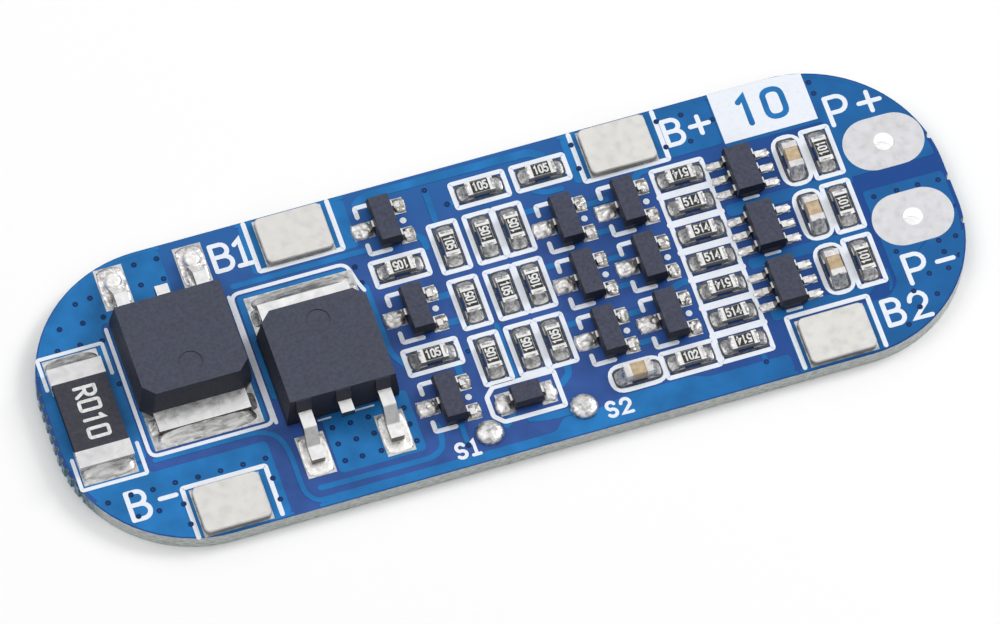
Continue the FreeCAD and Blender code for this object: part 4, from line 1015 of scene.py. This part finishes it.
# Solder
def surface(pile, x, y, turn, count, shape):
    """A lump over a square grid; shape gives the place and height of each of its points."""
    spin = Matrix.Rotation(math.radians(turn), 2)
    rows = []
    for r in range(count + 1):
        row = []
        for c in range(count + 1):
            along, across, height = shape(r / count, 2 * c / count - 1)
            local = spin @ Vector((along, across))
            row.append((x + local.x, y + local.y, LAND_TOP - SUNK + height))
        rows.append(row)
    pile.skin(rows, LAND_TOP - 2 * SUNK)


# How far the square grid is pressed towards a round one
ROUNDING = 0.28


def lump(pile, x, y, along, across, high, seed, count, rough, turn=0.0):
    """A frozen pool of solder with a round, uneven rim."""

    def shape(share, v):
        u = 2 * share - 1
        px = u * math.sqrt(1 - v * v * ROUNDING)
        py = v * math.sqrt(1 - u * u * ROUNDING)
        crown = (1 - max(abs(u), abs(v)) ** 3) ** 0.6
        grain = noise.noise(Vector((u * 1.7 + seed * 3.1, v * 1.7 - seed, seed * 0.7)))
        height = high * crown * (1 + rough * grain)
        return px * along / 2, py * across / 2, max(SUNK, height)

    surface(pile, x, y, turn, count, shape)


def blob(pile, x, y, along, across, high, seed, uneven, full=2.4, rings=7, spokes=20):
    """A frozen drop of solder on a round or oval foot; a fuller one has a flatter top."""
    base = LAND_TOP - SUNK
    points = [(x, y, base + high)]
    for number in range(1, rings + 1):
        reach = number / rings
        for spoke in range(spokes):
            turn = 2 * math.pi * spoke / spokes
            u, v = math.cos(turn), math.sin(turn)
            grain = noise.noise(Vector((u * 1.3 + seed * 2.3, v * 1.3, seed * 1.7)))
            place = Vector((u * reach * 2 - seed, v * reach * 2 + seed, seed * 0.9))
            bulge = 1 + uneven * 3 * noise.noise(place) * reach
            out = reach * (1 + uneven * 2 * grain)
            rise = high * math.sqrt(max(0, 1 - reach ** full)) * bulge
            points.append((x + out * u * along / 2, y + out * v * across / 2, base + rise))
    faces = [(0, 1 + spoke, 1 + (spoke + 1) % spokes) for spoke in range(spokes)]
    last = 1 + (rings - 1) * spokes
    for start in range(1, last, spokes):
        for spoke in range(spokes):
            a, b = start + spoke, start + (spoke + 1) % spokes
            faces.append((a, a + spokes, b + spokes, b))
    faces.append(tuple(range(last, last + spokes))[::-1])
    pile.add(points, faces)


# How high solder stands on top of a cap that it covers, and how thick it is at a slope's toe
LIP = 0.04
TOE = 0.03


def fillet(pile, x, y, heading, run, high, near, far, seed, count=8, cover=0.0):
    """Solder drawn up an end face and over its top by cover; near and far are its widths."""

    def shape(share, s):
        beyond = share * (run + cover) - cover
        t = max(0, beyond / run)
        half = (near + (far - near) * t) / 2 * (1 - 0.25 * t ** 4)
        if beyond < 0:
            dome = (LIP + 0.02) * math.sin(math.pi / 2 * (1 + beyond / cover)) - 0.02
            height = (high + dome) * (1 - abs(s) ** 12)
            return beyond, s * half, max(SUNK / 2, height)
        grain = noise.noise(Vector((t * 2 + seed * 1.3, s * 2, seed * 2.1)))
        slope = (1 - t) ** 1.7 * (1 - 0.35 * abs(s) ** 3)
        peak = high + (LIP if cover else 0)
        height = peak * slope * (1 - abs(s) ** 6) * (1 + 0.2 * grain)
        height += TOE * (1 - t ** 6) * (1 - abs(s) ** 8)
        return run * t * (1 - 0.12 * s * s), s * half, max(SUNK / 2, height)

    surface(pile, x, y, heading, count, shape)


# How far the solder creeps over the top of a chip's cap, and how far it runs out on the land
COVERS = dict.fromkeys(RESISTORS, 0.17) | {"capacitor": 0.05}
CHIP_RUN = 0.58
# The dark rim round a chip's lands, part flux, part painted shadow: its sizes, corner and line
SOLDER_RIM = (2.66, 1.12)
SOLDER_RIM_CORNER = 0.36
SOLDER_RIM_LINE = 0.13
# From the middle of a small transistor or chip to the next lead
LEAD_PITCH = 0.95


def chip_joints(seeds):
    """A slope at both ends of each chip, and the dark rim round its lands: flux and painted shadow."""
    slopes, rims = Pile(), Pile()
    for bank, cover in COVERS.items():
        high = corners(bank + "_caps")[1].z - LAND_TOP + 0.012
        for core in solids(bank + "_cores"):
            spot = middle(core)
            sizes = [core[1][axis] - core[0][axis] for axis in (0, 1)]
            half = max(sizes) / 2 + 0.03
            wide = min(sizes) + 0.07
            for heading in (90, 270) if lies_across(core) else (0, 180):
                turn = math.radians(heading)
                x, y = spot.x + half * math.cos(turn), spot.y + half * math.sin(turn)
                near, far, seed = wide + 0.04, wide + 0.2, next(seeds)
                fillet(slopes, x, y, heading, CHIP_RUN, high, near, far, seed, 12, cover)
            rim = rounded(surround(core, *SOLDER_RIM), SOLDER_RIM_CORNER)
            draw(rims, rim, SOLDER_RIM_LINE, BOARD_TOP, SOLDER_RIM_TOP, closed=True)
    slopes.build("chip_solder", "solder", chip_solder, smooth=True, instead_of=("small_solder",))
    rims.build("solder_rims", "solder", flux_and_shadow)


def lead_joints(seeds):
    """Solder on the leads of the small transistors, the monitor chips and the diode."""
    feet, pairs = Pile(), Pile()
    for name in SMALL_TRANSISTORS:
        low, high = corners(name + "_leads")
        y = centre(name + "_mould").y
        lump(feet, low.x - 0.14, y, 1.2, 1.06, 0.2, next(seeds), count=14, rough=0.9, turn=4)
        for y in (y - LEAD_PITCH, y + LEAD_PITCH):
            x = high.x - 0.02
            lump(pairs, x, y, 0.72, 0.92, 0.13, next(seeds), count=12, rough=1.0, turn=-5)
    for name in MONITOR_CHIPS:
        low, high = corners(name + "_leads")
        for x in (low.x - 0.1, high.x + 0.1):
            for step in (-1, 0, 1):
                y = centre(name + "_leads").y + step * LEAD_PITCH
                blob(feet, x, y, 0.9, 0.54, 0.15, next(seeds), uneven=0.16)
    low, high = corners("diode_leads")
    for x in (low.x - 0.1, high.x + 0.1):
        blob(feet, x, centre("diode_leads").y, 0.9, 1.4, 0.24, next(seeds), uneven=0.18)
    feet.build("lead_solder", "solder", bright_solder, smooth=True)
    pairs.build("pair_solder", "solder", grey_solder, smooth=True)


# Each power transistor: the side its drain tab is on, and the first of its random draws
SWITCHES = (("left_switch", -1, 101), ("right_switch", 1, 108))
# From a power transistor's middle to the solder at its tab's sides and to its leads
TAB_SIDE = 2.65
POWER_PITCH = 2.3


def power_joints():
    """Solder along each drain tab, on each lead's land and at the shunt's ends."""
    joints, drains, lands = Pile(), Pile(), Pile()
    for name, outward, first in SWITCHES:
        low, high = corners(name + "_leads")
        spot = centre(name + "_mould")
        edge, tip = (low.y, high.y) if outward < 0 else (high.y, low.y)
        fillet(drains, spot.x, edge, 90 * outward, 0.84, 0.42, 5.5, 6.2, first, count=16)
        for side, seed in ((-1, first + 1), (1, first + 4)):
            x, y = spot.x + side * TAB_SIDE, edge - outward * 0.55
            fillet(drains, x, y, 90 - side * 90, 0.46, 0.3, 1.1, 1.15, seed)
            x, y = spot.x + side * POWER_PITCH, tip + outward * 0.525
            if outward < 0:
                lump(joints, x, y, 1.6, 2.6, 0.09, seed + 1, count=18, rough=1.4)
                y = tip - 0.35
                blob(lands, x, y, 1.12, 1.3, 0.7, seed + 2, uneven=0.05, full=6, rings=10)
            else:
                lump(lands, x, y, 1.62, 2.62, 0.06, seed + 1, count=18, rough=1.1)
    low, high = corners("shunt_end_caps")
    x = centre("shunt_end_caps").x
    for side, edge, seed in ((-1, low.y, 115), (1, high.y, 116)):
        fillet(drains, x, edge, 90 * side, 0.84, 0.4, 3.1, 3.15, seed, count=14)
    drains.build("drain_solder", "solder", drain_solder, smooth=True)
    lands.build("land_solder", "solder", land_solder, smooth=True)
    joints.build("power_solder_joints", "solder", joint_solder, smooth=True, instead_of=("power_solder",))


def test_point_joints():
    domes = Pile()
    for seed, dome in enumerate(solids("test_point_domes"), start=200):
        spot = middle(dome)
        across = dome[1].x - dome[0].x
        high = dome[1].z - dome[0].z
        blob(domes, spot.x, spot.y, across, across, high, seed, uneven=0.03, rings=9, spokes=28)
    domes.build("test_point_solder", "solder", solder, smooth=True, instead_of=("test_point_domes",))


# Floor, light and camera, in metres
FLOOR_DROP = 0.00002
STUDIO_STRENGTH = 0.8
# How light the studio is from below to above: height from 0 to 1, and grey
STUDIO_GREYS = ((0.12, grey(0.22)), (0.55, grey(0.85)), (0.9, grey(1.0)))
# Square lamps that face the board: name, place, side and power in watts
LAMPS = (
    ("key", (0.66, 0.16, 0.52), 0.34, 3.1),
    ("overhead", (-0.40, 0.20, 0.60), 0.45, 0.9),
)


def make_stage():
    bpy.ops.mesh.primitive_plane_add(size=4, location=(0, 0, -FLOOR_DROP))
    floor = bpy.context.object
    floor.name = "floor"
    floor.data.materials.append(Finish("floor_paper", grey(0.96), 0.9).material)
    world = bpy.data.worlds.new("studio")
    world.use_nodes = True
    nodes, links = world.node_tree.nodes, world.node_tree.links
    background = nodes["Background"]
    socket(background, "Strength", STUDIO_STRENGTH)
    parts = nodes.new("ShaderNodeSeparateXYZ")
    ramp = nodes.new("ShaderNodeValToRGB")
    fill_ramp(ramp, STUDIO_GREYS)
    links.new(nodes.new("ShaderNodeTexCoord").outputs["Generated"], parts.inputs["Vector"])
    links.new(parts.outputs["Z"], ramp.inputs["Fac"])
    links.new(ramp.outputs["Color"], background.inputs["Color"])
    bpy.context.scene.world = world
    for name, place, size, power in LAMPS:
        data = bpy.data.lights.new(name, "AREA")
        data.shape = "SQUARE"
        data.size = size
        data.energy = power
        lamp = new_object(name, data)
        lamp.location = place
        lamp.rotation_euler = (-Vector(place)).to_track_quat("-Z", "Y").to_euler()


# The camera, solved from the photograph
CAMERA_PLACE = Vector((-106.0, -258.88, 527.42)) * MM
CAMERA_RIGHT = Vector((0.94837, -0.31517, 0.03567))
CAMERA_UP = Vector((0.26298, 0.84417, 0.46715))
CAMERA_LENS = 386.2


def make_camera():
    data = bpy.data.cameras.new("camera")
    data.sensor_width = 36
    data.lens = CAMERA_LENS
    data.clip_start = 0.05
    data.clip_end = 20
    camera = new_object("camera", data)
    back = CAMERA_RIGHT.cross(CAMERA_UP)
    turn = Matrix((CAMERA_RIGHT, CAMERA_UP, back)).transposed()
    camera.matrix_world = Matrix.Translation(CAMERA_PLACE) @ turn.to_4x4()
    bpy.context.scene.camera = camera
    bpy.context.scene.view_settings.view_transform = "Standard"


dress_frame()
make_board()
make_print()
make_values()
seeds = itertools.count(1)
chip_joints(seeds)
lead_joints(seeds)
power_joints()
test_point_joints()
make_stage()
make_camera()
